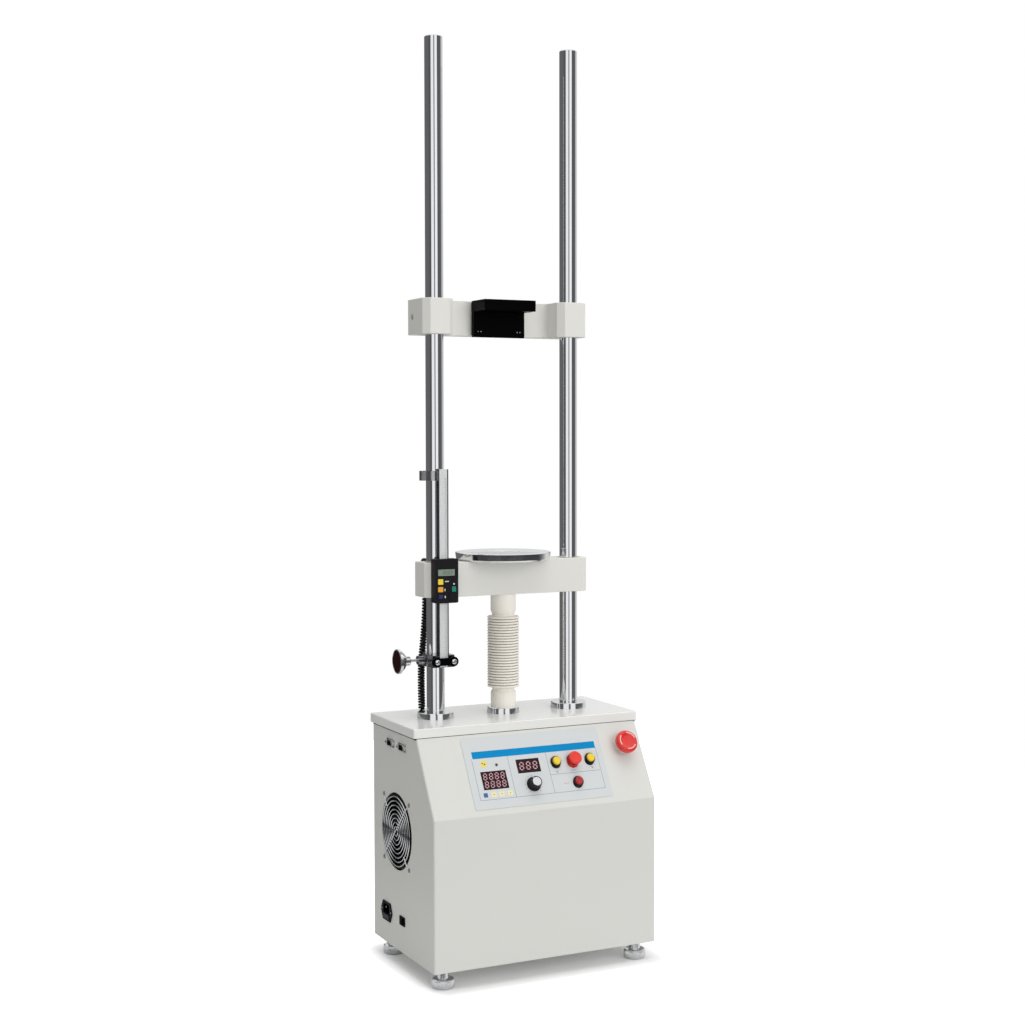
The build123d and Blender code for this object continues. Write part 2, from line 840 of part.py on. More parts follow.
# Round compression plate with a bevelled underside and a stud into the beam
with BuildPart() as compression_plate:
    with BuildSketch(Plane.XZ):
        with BuildLine():
            Polyline(
                (0, crosshead_top - table_stud_length),
                (table_stud_radius, crosshead_top - table_stud_length),
                (table_stud_radius, crosshead_top),
                (table_radius - table_bevel, crosshead_top),
                (table_radius, crosshead_top + table_bevel),
                (table_radius, crosshead_top + table_thickness - table_chamfer),
                (table_radius - table_chamfer, crosshead_top + table_thickness),
                (0, crosshead_top + table_thickness),
                close=True,
            )
        make_face()
    revolve(axis=Axis.Z)
pieces["compression_plate"] = compression_plate

# Lead screw, fixed in the crosshead beam and running down through the nut
with BuildPart() as lead_screw:
    with BuildSketch(Plane.XY.offset(crosshead_bottom + screw_seat)):
        Circle(screw_radius)
    extrude(amount=-screw_length)
    chamfer(lead_screw.faces().sort_by(Axis.Z)[0].edges(), screw_chamfer)
pieces["lead_screw"] = lead_screw

# Elbow that takes the curly cord out of the back of the crosshead
cord_top_x, cord_top_y, cord_top_z = cord_route[0]
cord_dome_z = crosshead_bottom + cord_dome_rise
with BuildPart() as cord_elbow:
    with BuildSketch(Plane.XY.offset(cord_top_z)):
        with Locations((cord_top_x, cord_top_y)):
            Circle(cord_dome_radius)
    extrude(amount=cord_dome_z - cord_top_z)
    with Locations((cord_top_x, cord_top_y, cord_dome_z)):
        Sphere(cord_dome_radius)
    with BuildSketch(facing_front(cord_top_x, cord_top_y, crosshead_bottom + cord_neck_rise)):
        Circle(cord_neck_radius)
    extrude(amount=cord_top_y - crosshead_depth / 2 + cord_neck_depth)
pieces["cord_elbow"] = cord_elbow

# Grommet where the curly cord enters the top plate
cord_end_x, cord_end_y, cord_end_z = cord_route[-1]
with BuildPart() as cord_grommet:
    with BuildSketch(Plane.XY.offset(plate_z)):
        with Locations((cord_end_x, cord_end_y)):
            Circle(grommet_radius)
    extrude(amount=cord_end_z - plate_z)
    with BuildSketch(Plane.XY.offset(plate_z)):
        with Locations((cord_end_x, cord_end_y)):
            Circle(grommet_spigot_radius)
    extrude(amount=-grommet_spigot)
pieces["cord_grommet"] = cord_grommet

# Curly cord, as a tube of its outer diameter
cord_radii = []
for before, corner, after in zip(cord_route, cord_route[1:], cord_route[2:]):
    run_in = Vector(*corner) - Vector(*before)
    run_out = Vector(*after) - Vector(*corner)
    half_turn = radians(run_in.get_angle(run_out)) / 2
    cord_radii.append(bend_share * min(run_in.length, run_out.length) / tan(half_turn))
with BuildPart() as curly_cord:
    with BuildLine() as cord_line:
        FilletPolyline(*cord_route, radius=cord_radii)
    with BuildSketch(Plane.XY.offset(cord_top_z)):
        with Locations((cord_top_x, cord_top_y)):
            Circle(cord_radius)
    sweep(path=cord_line.wires()[0])
pieces["curly_cord"] = curly_cord
cord_length = cord_line.wires()[0].length
print("cord radii", [round(radius) for radius in cord_radii], "length", round(cord_length, 1))
print("cord volume ratio", round(curly_cord.part.volume / (pi * cord_radius**2 * cord_length), 4))

# Upper crosshead: two split clamps joined by a bar
block_inner = column_x - upper_block_inner
with BuildPart() as upper_crosshead:
    with BuildSketch(Plane.XY.offset(upper_bottom)):
        with BuildLine():
            right_half = [
                (half_beam, upper_back),
                (half_beam, upper_front),
                (block_inner, upper_front),
                (block_inner, upper_bar_front),
            ]
            left_half = [(-x, y) for x, y in reversed(right_half)]
            Polyline(*right_half, *left_half, close=True)
        make_face()
    extrude(amount=upper_height)
    uprights = upper_crosshead.edges().filter_by(Axis.Z)
    chamfer(uprights.filter_by_position(Axis.Y, upper_front - 1, upper_front + 1), upper_chamfer)
    throat = upper_crosshead.edges().filter_by(Axis.Z).filter_by_position(
        Axis.Y, upper_bar_front - 1, upper_bar_front + 1
    )
    fillet(throat, upper_throat_fillet)
    fillet(upper_crosshead.edges().filter_by(Axis.Z).group_by(Axis.Y)[-1], crosshead_back_fillet)
    fillet(upper_crosshead.faces().filter_by(Axis.Z).edges(), upper_edge)
    with BuildSketch(Plane.XY.offset(upper_bottom)):
        with Locations((-column_x, 0), (column_x, 0)):
            Circle(column_radius + fit)
            with Locations((0, upper_back / 2 + 1)):
                Rectangle(clamp_slit, upper_back + 2)
    extrude(amount=upper_height, mode=Mode.SUBTRACT)
    for side in (-1, 1):
        screw_plane = Plane(
            origin=(side * half_beam, clamp_screw_y, upper_bottom + upper_height / 2),
            x_dir=(0, side, 0),
            z_dir=(side, 0, 0),
        )
        with BuildSketch(screw_plane):
            Circle(clamp_head_radius + gap)
        extrude(amount=-clamp_head_depth, mode=Mode.SUBTRACT)
        with BuildSketch(screw_plane):
            Circle(clamp_shank_radius + fit)
        extrude(amount=-clamp_head_depth - clamp_shank_length, mode=Mode.SUBTRACT)
pieces["upper_crosshead"] = upper_crosshead

# Socket screws that close the two split clamps
with BuildPart() as clamp_screws:
    for side in (-1, 1):
        head_seat = Plane(
            origin=(side * (half_beam - clamp_head_depth), clamp_screw_y, upper_bottom + upper_height / 2),
            x_dir=(0, side, 0),
            z_dir=(side, 0, 0),
        )
        with BuildSketch(head_seat):
            Circle(clamp_head_radius)
        extrude(amount=clamp_head_height)
        with BuildSketch(head_seat):
            Circle(clamp_shank_radius)
        extrude(amount=gap - clamp_shank_length)
        with BuildSketch(head_seat.offset(clamp_head_height)):
            RegularPolygon(clamp_socket_radius, 6)
        extrude(amount=-clamp_socket_depth, mode=Mode.SUBTRACT)
pieces["clamp_screws"] = clamp_screws

# Spacer and angle bracket that hold the load cell over the compression plate
spacer_front = upper_bar_front - bracket_spacer_thickness
bracket_face = spacer_front - bracket_back_plate
bracket_bottom_z = upper_bottom - bracket_drop
with BuildPart() as load_bracket:
    with BuildSketch(Plane.YZ.offset(-bracket_width / 2)):
        with BuildLine():
            Polyline(
                (spacer_front, bracket_bottom_z),
                (spacer_front, upper_top),
                (bracket_face - bracket_reach, upper_top),
                (bracket_face - bracket_reach, upper_top - bracket_lip),
                (bracket_face, upper_top - bracket_lip),
                (bracket_face, bracket_bottom_z),
                close=True,
            )
        make_face()
    extrude(amount=bracket_width)
    outer_edges = load_bracket.edges().filter_by(Axis.X, reverse=True)
    lip_edges = outer_edges.filter_by_position(Axis.Y, bracket_face - bracket_reach - 1, bracket_face - 1)
    chamfer(lip_edges, bracket_edge)
    with BuildSketch(facing_front(0, upper_bar_front, (upper_bottom + upper_top) / 2)):
        Rectangle(
            bracket_width - 2 * bracket_spacer_margin, upper_height - 2 * bracket_spacer_margin
        )
    extrude(amount=bracket_spacer_thickness)
    with BuildSketch(Plane.XY.offset(upper_top)):
        Circle(load_bore)
    extrude(amount=-bracket_lip, mode=Mode.SUBTRACT)
pieces["load_bracket"] = load_bracket

# Steel scale with a groove along its right edge
rail_bottom = clamp_bottom + rail_inset
rail_top = plate_z + rail_rise
rail_front = rail_back - rail_thickness
with BuildPart() as scale_rail:
    with BuildSketch(facing_front(-column_x, rail_back, (rail_bottom + rail_top) / 2)):
        Rectangle(rail_width, rail_top - rail_bottom)
    extrude(amount=rail_thickness)
    with BuildSketch(facing_front(-column_x, rail_front, (rail_bottom + rail_top) / 2)):
        with Locations((rail_width / 2 - rail_groove / 2, 0)):
            Rectangle(rail_groove, rail_top - rail_bottom)
    extrude(amount=-rail_groove_depth, mode=Mode.SUBTRACT)
pieces["scale_rail"] = scale_rail

# Split ring that holds the top of the scale on the left column
with BuildPart() as rail_upper_clamp:
    with BuildSketch(Plane.XY.offset(plate_z + upper_ring_rise)):
        with Locations((-column_x, 0)):
            Circle(upper_ring_radius)
            with Locations((0, (rail_back - column_radius) / 2)):
                Rectangle(rail_width, -rail_back - column_radius)
            with Locations((-ear_reach / 2, 0)):
                Rectangle(ear_reach, ear_width)
            Circle(column_radius + fit, mode=Mode.SUBTRACT)
            with Locations((-ear_reach / 2, 0)):
                Rectangle(ear_reach + 2, ear_slit, mode=Mode.SUBTRACT)
    extrude(amount=upper_ring_height)
pieces["rail_upper_clamp"] = rail_upper_clamp

# Lower clamp on the left column, with a lug behind the scale and a boss for the knob
knob_z = clamp_bottom + clamp_height / 2
knob_line = Plane(origin=(-column_x - boss_reach, knob_axis_y, knob_z), x_dir=(0, -1, 0), z_dir=(-1, 0, 0))
with BuildPart() as rail_lower_clamp:
    with BuildSketch(Plane.XY.offset(clamp_bottom)):
        with Locations((-column_x, 0)):
            Circle(clamp_ring_radius)
            with Locations((0, (rail_back + clamp_lug_back) / 2)):
                Rectangle(clamp_lug_width, clamp_lug_back - rail_back)
    extrude(amount=clamp_height)
    with BuildSketch(knob_line):
        Circle(boss_radius)
    extrude(amount=-boss_reach)
    with BuildSketch(Plane.XY.offset(clamp_bottom)):
        with Locations((-column_x, 0)):
            Circle(column_radius + fit)
    extrude(amount=clamp_height, mode=Mode.SUBTRACT)
    with BuildSketch(knob_line):
        Circle(knob_stem_radius + fit)
    extrude(amount=-boss_reach + column_radius, mode=Mode.SUBTRACT)
    with BuildSketch(facing_front(-column_x, rail_back, knob_z)):
        with GridLocations(link_screw_spacing, 1, 2, 1):
            Circle(link_screw_radius + fit)
    extrude(amount=-link_hole_depth, mode=Mode.SUBTRACT)
pieces["rail_lower_clamp"] = rail_lower_clamp

# Link that clamps the lower end of the scale against the lug
link_back = rail_front - link_play
with BuildPart() as rail_link:
    with BuildSketch(facing_front(-column_x, link_back, knob_z)):
        with GridLocations(link_screw_spacing, 1, 2, 1):
            Circle(link_end_radius)
        Rectangle(link_screw_spacing, link_waist)
        with GridLocations(link_screw_spacing, 1, 2, 1):
            Circle(link_screw_radius + fit, mode=Mode.SUBTRACT)
    extrude(amount=link_thickness)
pieces["rail_link"] = rail_link

# The two screws of the link, with domed heads
with BuildPart() as link_screws:
    with BuildSketch(facing_front(-column_x, link_back - link_thickness, knob_z)):
        with GridLocations(link_screw_spacing, 1, 2, 1):
            Circle(link_head_radius)
    extrude(amount=link_head_height)
    fillet(link_screws.faces().filter_by(Axis.Y).group_by(Axis.Y)[0].edges(), link_head_edge)
    with BuildSketch(facing_front(-column_x, link_back - link_thickness, knob_z)):
        with GridLocations(link_screw_spacing, 1, 2, 1):
            Circle(link_screw_radius)
    extrude(amount=-link_thickness - link_play - rail_thickness - link_screw_grip)
pieces["link_screws"] = link_screws

# Round knob whose stem screws through the boss on to the column
knob_inner = -column_x - column_radius - gap
knob_hub_start = -column_x - boss_reach - gap - knob_stem_length
knob_flare_start = knob_hub_start - knob_hub_length
knob_rim_start = knob_flare_start - knob_flare_length
knob_face = knob_rim_start - knob_thickness
with BuildPart() as clamp_knob:
    with BuildSketch(Plane.XZ.offset(-knob_axis_y)):
        with BuildLine():
            Polyline(
                (knob_inner, knob_z),
                (knob_inner, knob_z + knob_stem_radius),
                (knob_hub_start, knob_z + knob_stem_radius),
                (knob_hub_start, knob_z + knob_hub_radius),
                (knob_flare_start, knob_z + knob_hub_radius),
                (knob_rim_start, knob_z + knob_radius - knob_rim_step),
                (knob_rim_start, knob_z + knob_radius),
                (knob_face + knob_edge, knob_z + knob_radius),
                (knob_face, knob_z + knob_radius - knob_edge),
                (knob_face, knob_z),
                close=True,
            )
        make_face()
    revolve(axis=Axis((0, knob_axis_y, knob_z), (1, 0, 0)))
pieces["clamp_knob"] = clamp_knob

# Display case that slides along the scale, fixed to the front of the crosshead
case_back = crosshead_front
case_front = case_back - case_depth
case_middle = case_bottom + case_height / 2
case_x = -column_x + case_shift
keys = {
    "scale_key_yellow": (-11.3, 35.0, 8.8, 8.9),
    "scale_key_orange": (-11.3, 22.6, 8.8, 8.4),
    "scale_key_blue": (-10.9, 11.2, 7.0, 6.7),
    "scale_key_green": (12.3, 22.6, 7.0, 8.4),
}
with BuildPart() as scale_case:
    with BuildSketch(facing_front(case_x, case_back, case_middle)):
        RectangleRounded(case_width, case_height, case_corner)
    extrude(amount=case_depth)
    with BuildSketch(facing_front(case_x, case_front, case_middle)):
        cover_x = (case_width - case_cover_width) / 2 - case_cover_margin
        cover_z = (case_cover_height - case_height) / 2 + case_cover_margin
        with Locations((cover_x, cover_z)):
            RectangleRounded(case_cover_width, case_cover_height, case_cover_corner)
    extrude(amount=case_cover_proud)
    with BuildSketch(Plane.XY.offset(case_bottom)):
        with Locations((-column_x, rail_back - rail_thickness / 2)):
            Rectangle(rail_width + 2 * case_play, rail_thickness + 2 * case_play)
    extrude(amount=case_height, mode=Mode.SUBTRACT)
    with BuildSketch(facing_front(case_x, case_front, case_bottom)):
        for x, z, width, height in keys.values():
            with Locations((x, z)):
                Rectangle(width + 2 * key_play, height + 2 * key_play)
    extrude(amount=-key_depth - key_play, mode=Mode.SUBTRACT)
    with BuildSketch(facing_front(case_x, case_front, case_bottom)):
        with Locations((lcd_x, lcd_z)):
            Rectangle(lcd_width, lcd_height)
    extrude(amount=-lcd_depth, mode=Mode.SUBTRACT)
pieces["scale_case"] = scale_case

# Four rubber keys in the pockets of the display case
for name, (x, z, width, height) in keys.items():
    with BuildPart() as key:
        with BuildSketch(facing_front(case_x + x, case_front + key_depth - key_back_play, case_bottom + z)):
            RectangleRounded(width, height, key_corner)
        extrude(amount=key_depth - key_back_play + key_proud)
    pieces[name] = key

# Printed film on the slope, with holes for windows, buttons, knob
with BuildPart() as panel_film:
    with BuildSketch(panel):
        with Locations((film_shift, -(film_top + film_bottom) / 2)):
            RectangleRounded(film_width, film_bottom - film_top, film_corner)
        for x, s, width, height in windows:
            with Locations((x, -s)):
                Rectangle(width + 2 * window_play, height + 2 * window_play, mode=Mode.SUBTRACT)
        for x, s, cap_radius, ring_radius in button_places.values():
            with Locations((x, -s)):
                Circle(cap_radius + gap + button_barrel_wall + fit, mode=Mode.SUBTRACT)
        with Locations((knob_place[0], -knob_place[1])):
            Circle(dial_shaft_radius + fit, mode=Mode.SUBTRACT)
    extrude(amount=film_thickness)
pieces["panel_film"] = panel_film

# Tinted windows over the digit displays
with BuildPart() as display_windows:
    with BuildSketch(panel):
        for x, s, width, height in windows:
            with Locations((x, -s)):
                Rectangle(width, height)
    extrude(amount=film_thickness + window_proud)
pieces["display_windows"] = display_windows

# Collars and barrels of the push buttons
with BuildPart() as button_collars:
    for x, s, cap_radius, ring_radius in button_places.values():
        barrel_radius = cap_radius + gap + button_barrel_wall
        with BuildSketch(on_panel(x, s, film_thickness)):
            Circle(ring_radius)
            Circle(cap_radius + gap, mode=Mode.SUBTRACT)
        extrude(amount=button_collar_height, taper=button_collar_taper)
        with BuildSketch(on_panel(x, s, film_thickness)):
            Circle(barrel_radius)
            Circle(cap_radius + gap, mode=Mode.SUBTRACT)
        extrude(amount=-button_barrel_depth)
        with BuildSketch(on_panel(x, s, film_thickness - button_barrel_depth)):
            Circle(barrel_radius)
            Circle(button_stem_radius + fit, mode=Mode.SUBTRACT)
        extrude(amount=-button_barrel_floor)
pieces["button_collars"] = button_collars

# Push buttons: a domed cap on a stem, with a wide flat head on the stop button
cap_length = button_collar_height + button_proud + button_skirt
for name, (x, s, cap_radius, ring_radius) in button_places.items():
    cap_top = film_thickness + button_collar_height + button_proud
    with BuildPart() as button:
        with BuildSketch(on_panel(x, s, cap_top)):
            Circle(cap_radius)
        extrude(amount=-cap_length)
        rim = button.edges().filter_by(GeomType.CIRCLE).sort_by(Axis((0, 0, 0), panel.z_dir))[-1]
        fillet(rim, button_edge)
        with BuildSketch(on_panel(x, s, cap_top - cap_length)):
            Circle(button_stem_radius)
        stem_end = film_thickness - button_barrel_depth - button_stem_tail
        extrude(amount=stem_end - cap_top + cap_length)
        if name == "stop_button":
            head_bottom = film_thickness + button_collar_height + mushroom_lift
            with BuildSketch(on_panel(x, s, head_bottom)):
                Circle(mushroom_radius)
            extrude(amount=mushroom_height)
            rims = button.edges().filter_by(GeomType.CIRCLE).sort_by(Axis((0, 0, 0), panel.z_dir))
            fillet(rims[-1], mushroom_edge)
    pieces[name] = button

# Speed dial on its shaft
with BuildPart() as speed_knob:
    with BuildSketch(on_panel(*knob_place, film_thickness + gap)):
        Circle(dial_radius)
    extrude(amount=dial_skirt)
    with BuildSketch(on_panel(*knob_place, film_thickness + gap + dial_skirt)):
        Circle(dial_top_radius)
    extrude(amount=dial_height - dial_skirt, taper=dial_taper)
    with BuildSketch(on_panel(*knob_place, film_thickness + gap)):
        Circle(dial_shaft_radius)
    extrude(amount=-dial_shaft_depth - film_thickness - gap)
pieces["speed_knob"] = speed_knob

# Emergency stop: fixed body, plunger that is pressed, mushroom head that also twists
with BuildPart() as estop_body:
    with BuildSketch(on_panel(*estop_place)):
        Circle(estop_ring_radius)
    extrude(amount=estop_ring_height, taper=estop_ring_taper)
    with BuildSketch(on_panel(*estop_place)):
        Circle(estop_barrel_radius)
    extrude(amount=-estop_barrel_depth)
    with BuildSketch(on_panel(*estop_place, -estop_barrel_depth)):
        RectangleRounded(estop_block_size, estop_block_size, estop_block_corner)
    extrude(amount=-estop_block_depth)
    with BuildSketch(on_panel(*estop_place, estop_ring_height)):
        Circle(estop_plunger_radius + fit)
    extrude(amount=-estop_ring_height - estop_barrel_depth, mode=Mode.SUBTRACT)
pieces["estop_body"] = estop_body

# Plunger in the body, seated in the underside of the head
estop_plunger_top = estop_lift + estop_plunger_seat
with BuildPart() as estop_plunger:
    with BuildSketch(on_panel(*estop_place, estop_plunger_top)):
        Circle(estop_plunger_radius)
    extrude(amount=-estop_plunger_top - estop_plunger_tail)
pieces["estop_plunger"] = estop_plunger

# Mushroom head with a stepped rim
with BuildPart() as estop_head:
    with BuildSketch(on_panel(*estop_place, estop_lift)):
        Circle(estop_head_radius - estop_head_bevel)
    extrude(amount=estop_head_height)
    with BuildSketch(on_panel(*estop_place, estop_lift + estop_head_bevel)):
        Circle(estop_head_radius)
    extrude(amount=estop_head_height - estop_head_bevel - estop_crown)
    crown = estop_head.edges().filter_by(GeomType.CIRCLE).sort_by(Axis((0, 0, 0), panel.z_dir))[-1]
    fillet(crown, estop_head_bevel)
    with BuildSketch(on_panel(*estop_place, estop_lift)):
        Circle(estop_plunger_radius + fit)
    extrude(amount=estop_plunger_top - estop_lift + gap, mode=Mode.SUBTRACT)
pieces["estop_head"] = estop_head

# Fan frame behind the left wall: two square flanges, a duct and a motor spider
fan_wall = -sheet
with BuildPart() as fan_frame:
    for start in (fan_wall, fan_wall - fan_depth + fan_plate):
        with BuildSketch(on_side(fan_y, fan_z, start)):
            RectangleRounded(fan_size, fan_size, fan_corner)
            Circle(fan_bore, mode=Mode.SUBTRACT)
            with GridLocations(fan_screw_spacing, fan_screw_spacing, 2, 2):
                Circle(fan_screw_hole, mode=Mode.SUBTRACT)
        extrude(amount=-fan_plate)
    with BuildSketch(on_side(fan_y, fan_z, fan_wall)):
        Circle(fan_bore + fan_duct_wall)
        Circle(fan_bore, mode=Mode.SUBTRACT)
    extrude(amount=-fan_depth)
    with BuildSketch(on_side(fan_y, fan_z, fan_wall - fan_depth + fan_plate)):
        Circle(fan_hub_radius)
        with PolarLocations((fan_bore + fan_hub_radius) / 2, 4, start_angle=45):
            Rectangle(fan_bore - fan_hub_radius + 2 * fan_duct_wall, fan_strut_width)
        Circle(fan_shaft_radius + fit, mode=Mode.SUBTRACT)
    extrude(amount=-fan_plate)
pieces["fan_frame"] = fan_frame

# Fan rotor: hub, shaft and pitched blades
rotor_front = fan_wall - fan_rotor_gap
with BuildPart() as fan_rotor:
    with BuildSketch(on_side(fan_y, fan_z, rotor_front)):
        Circle(fan_hub_radius)
    extrude(amount=-fan_rotor_depth)
    for index in range(fan_blades):
        angle = 360 / fan_blades * index
        blade_plane = Plane(
            on_side(fan_y, fan_z, rotor_front - fan_rotor_depth / 2).location
            * Rot(0, 0, angle)
            * Pos(fan_hub_radius - fan_blade_root, 0, 0)
            * Rot(0, 90, 0)
        )
        with BuildSketch(blade_plane):
            Rectangle(fan_blade_thickness, fan_blade_chord, rotation=fan_blade_pitch)
        extrude(amount=fan_blade_radius - fan_hub_radius - fan_tip_gap)
    with BuildSketch(on_side(fan_y, fan_z, rotor_front - fan_rotor_depth)):
        Circle(fan_shaft_radius)
    extrude(amount=fan_rotor_depth + fan_rotor_gap + fan_shaft_play - fan_depth)
pieces["fan_rotor"] = fan_rotor

# Finger guard of wire rings on two crossed wires, over the round opening
with BuildPart() as fan_guard:
    spoke_reach = fan_opening + guard_overlap
    with BuildSketch(on_side(fan_y, fan_z)):
        Rectangle(2 * spoke_reach, 2 * guard_wire, rotation=45)
        Rectangle(2 * spoke_reach, 2 * guard_wire, rotation=-45)
    extrude(amount=3 * guard_wire)
    for ring in range(guard_rings):
        ring_radius = guard_first_ring + ring * guard_ring_pitch
        with BuildSketch(on_side(fan_y, fan_z)):
            Circle(ring_radius + guard_wire)
            Circle(ring_radius - guard_wire, mode=Mode.SUBTRACT)
        extrude(amount=2 * guard_wire)
pieces["fan_guard"] = fan_guard

# Mains inlet: flange with cut corners, body, socket with three pins, slot for the fuse drawer
with BuildPart() as power_inlet:
    with BuildSketch(on_side(inlet_y, inlet_z)):
        with BuildLine():
            hw = inlet_width / 2
            hh = inlet_height / 2
            Polyline(
                (-hw, 0),
                (-hw + inlet_cut, -hh),
                (hw - inlet_cut, -hh),
                (hw, 0),
                (hw - inlet_cut, hh),
                (-hw + inlet_cut, hh),
                close=True,
            )
        make_face()
    extrude(amount=inlet_flange)
    with BuildSketch(on_side(inlet_y, inlet_z)):
        Rectangle(inlet_body_width, inlet_body_height)
    extrude(amount=-inlet_body_depth)
    with BuildSketch(on_side(inlet_y, inlet_z + socket_rise, inlet_flange)):
        RectangleRounded(socket_width, socket_height, socket_corner)
    extrude(amount=-socket_depth, mode=Mode.SUBTRACT)
    with BuildSketch(on_side(inlet_y, inlet_z + socket_rise, inlet_flange - socket_depth)):
        with Locations((0, earth_pin_rise), (-pin_spacing, -pin_drop), (pin_spacing, -pin_drop)):
            Rectangle(pin_short, pin_long)
    extrude(amount=pin_length)
    with BuildSketch(on_side(inlet_y, inlet_z - fuse_drop, inlet_flange)):
        Rectangle(fuse_width + 2 * gap, fuse_height + 2 * gap)
    extrude(amount=-fuse_depth - gap, mode=Mode.SUBTRACT)
pieces["power_inlet"] = power_inlet

# Fuse drawer that pulls out of the lower part of the inlet
with BuildPart() as fuse_drawer:
    with BuildSketch(on_side(inlet_y, inlet_z - fuse_drop, inlet_flange + fuse_lip)):
        Rectangle(fuse_width, fuse_height)
    extrude(amount=-fuse_depth - fuse_lip)
pieces["fuse_drawer"] = fuse_drawer

# Rocker switch: a frame snapped into the wall and a rocker on a cross pin
with BuildPart() as rocker_frame:
    with BuildSketch(on_side(rocker_y, rocker_z)):
        RectangleRounded(rocker_frame_width, rocker_frame_height, rocker_frame_corner)
    extrude(amount=rocker_flange)
    with BuildSketch(on_side(rocker_y, rocker_z)):
        Rectangle(
            rocker_frame_width - 2 * rocker_wall - 2 * fit, rocker_frame_height - 2 * rocker_catch - 2 * fit
        )
    extrude(amount=-rocker_body_depth)
    with BuildSketch(on_side(rocker_y, rocker_z, rocker_flange)):
        Rectangle(rocker_frame_width - 4 * rocker_wall, rocker_frame_height - 2 * rocker_wall)
    extrude(amount=rocker_floor - rocker_flange - rocker_body_depth, mode=Mode.SUBTRACT)
pieces["rocker_frame"] = rocker_frame

# Rocker with two horns and a keel, tilted to one of its two places
rocker_length = rocker_frame_width - 4 * rocker_wall - 2 * rocker_play
rocker_top = rocker_flange + rocker_pivot_depth
with BuildPart() as rocker:
    pivot = on_side(rocker_y, rocker_z, -rocker_pivot_depth).location
    with BuildSketch(Plane(pivot * Rot(90, 0, 0) * Rot(0, 0, rocker_swing / 2))):
        with BuildLine():
            Polyline(
                (-rocker_length / 2 + rocker_horn_inset, rocker_top + rocker_horn),
                (0, rocker_top),
                (rocker_length / 2 - rocker_horn_inset, rocker_top + rocker_horn),
                (rocker_length / 2 - rocker_foot_inset, -rocker_foot_inset),
                (0, -rocker_keel),
                (-rocker_length / 2 + rocker_foot_inset, -rocker_foot_inset),
                close=True,
            )
        make_face()
    extrude(amount=rocker_frame_height / 2 - rocker_wall - rocker_play, both=True)
pieces["rocker"] = rocker

# Two data sockets with their hexagonal posts
with BuildPart() as data_sockets:
    for y in data_socket_ys:
        with BuildSketch(on_side(y, data_socket_z)):
            RectangleRounded(data_flange_width, data_flange_height, data_corner)
        extrude(amount=data_flange)
        with BuildSketch(on_side(y, data_socket_z, data_flange)):
            Trapezoid(data_shell_width, data_shell_height, 90 - data_taper)
        extrude(amount=data_shell_depth - data_flange)
        with BuildSketch(on_side(y, data_socket_z, data_shell_depth)):
            Trapezoid(
                data_shell_width - 2 * data_wall, data_shell_height - 2 * data_wall, 90 - data_taper
            )
        extrude(amount=-data_wall, mode=Mode.SUBTRACT)
        with BuildSketch(on_side(y, data_socket_z)):
            Rectangle(data_shell_width, data_shell_height)
        extrude(amount=-data_body_depth)
        with BuildSketch(on_side(y, data_socket_z, data_flange)):
            with GridLocations(data_post_spacing, 1, 2, 1):
                RegularPolygon(data_post_radius, 6)
        extrude(amount=data_post_height)
        with BuildSketch(on_side(y, data_socket_z)):
            with GridLocations(data_post_spacing, 1, 2, 1):
                Circle(data_post_radius / 2)
        extrude(amount=-sheet - data_stud_tail)
pieces["data_sockets"] = data_sockets

for name, piece in pieces.items():
    piece.part.label = name
    export_step(piece.part, f"parts/{name}.step")
print(len(pieces), "pieces")
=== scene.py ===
from math import atan2, cos, hypot, pi, radians, sin, tau

import bmesh
import bpy
from mathutils import Matrix, Vector


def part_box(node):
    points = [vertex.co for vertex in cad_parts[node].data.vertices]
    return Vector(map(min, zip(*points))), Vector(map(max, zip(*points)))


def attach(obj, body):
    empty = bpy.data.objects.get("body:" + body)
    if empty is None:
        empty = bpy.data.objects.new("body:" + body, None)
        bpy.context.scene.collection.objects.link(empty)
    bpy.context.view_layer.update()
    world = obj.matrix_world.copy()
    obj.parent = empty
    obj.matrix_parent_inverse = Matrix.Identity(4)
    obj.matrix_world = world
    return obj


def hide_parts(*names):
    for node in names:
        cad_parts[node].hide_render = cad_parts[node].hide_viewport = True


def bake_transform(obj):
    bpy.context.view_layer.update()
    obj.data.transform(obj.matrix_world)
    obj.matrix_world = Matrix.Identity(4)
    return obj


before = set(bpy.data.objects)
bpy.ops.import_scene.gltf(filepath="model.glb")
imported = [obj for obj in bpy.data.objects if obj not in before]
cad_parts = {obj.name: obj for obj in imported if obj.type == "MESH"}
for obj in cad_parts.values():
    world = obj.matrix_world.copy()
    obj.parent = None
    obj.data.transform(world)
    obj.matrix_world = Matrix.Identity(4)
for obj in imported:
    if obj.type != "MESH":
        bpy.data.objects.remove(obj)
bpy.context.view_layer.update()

# The camera stands in front of the machine, to its left and a little above its middle.
# It looks at the two columns almost level, through a long lens.
camera_place = Vector((-1.2436, -2.5542, 0.8675))
camera_heading = -0.45873
camera_tilt = -0.04566
camera_roll = -0.00166
focal_pixels = 1701.8
picture_pixels = 1025
sensor_width = 36.0
camera = bpy.data.objects.new("camera", bpy.data.cameras.new("camera"))
bpy.context.scene.collection.objects.link(camera)
camera.data.sensor_width = sensor_width
camera.data.lens = sensor_width * focal_pixels / picture_pixels
camera.matrix_world = (
    Matrix.Translation(camera_place)
    @ Matrix.Rotation(camera_heading, 4, "Z")
    @ Matrix.Rotation(pi / 2 + camera_tilt, 4, "X")
    @ Matrix.Rotation(camera_roll, 4, "Z")
)
bpy.context.scene.camera = camera
bpy.context.scene.view_settings.view_transform = "Standard"

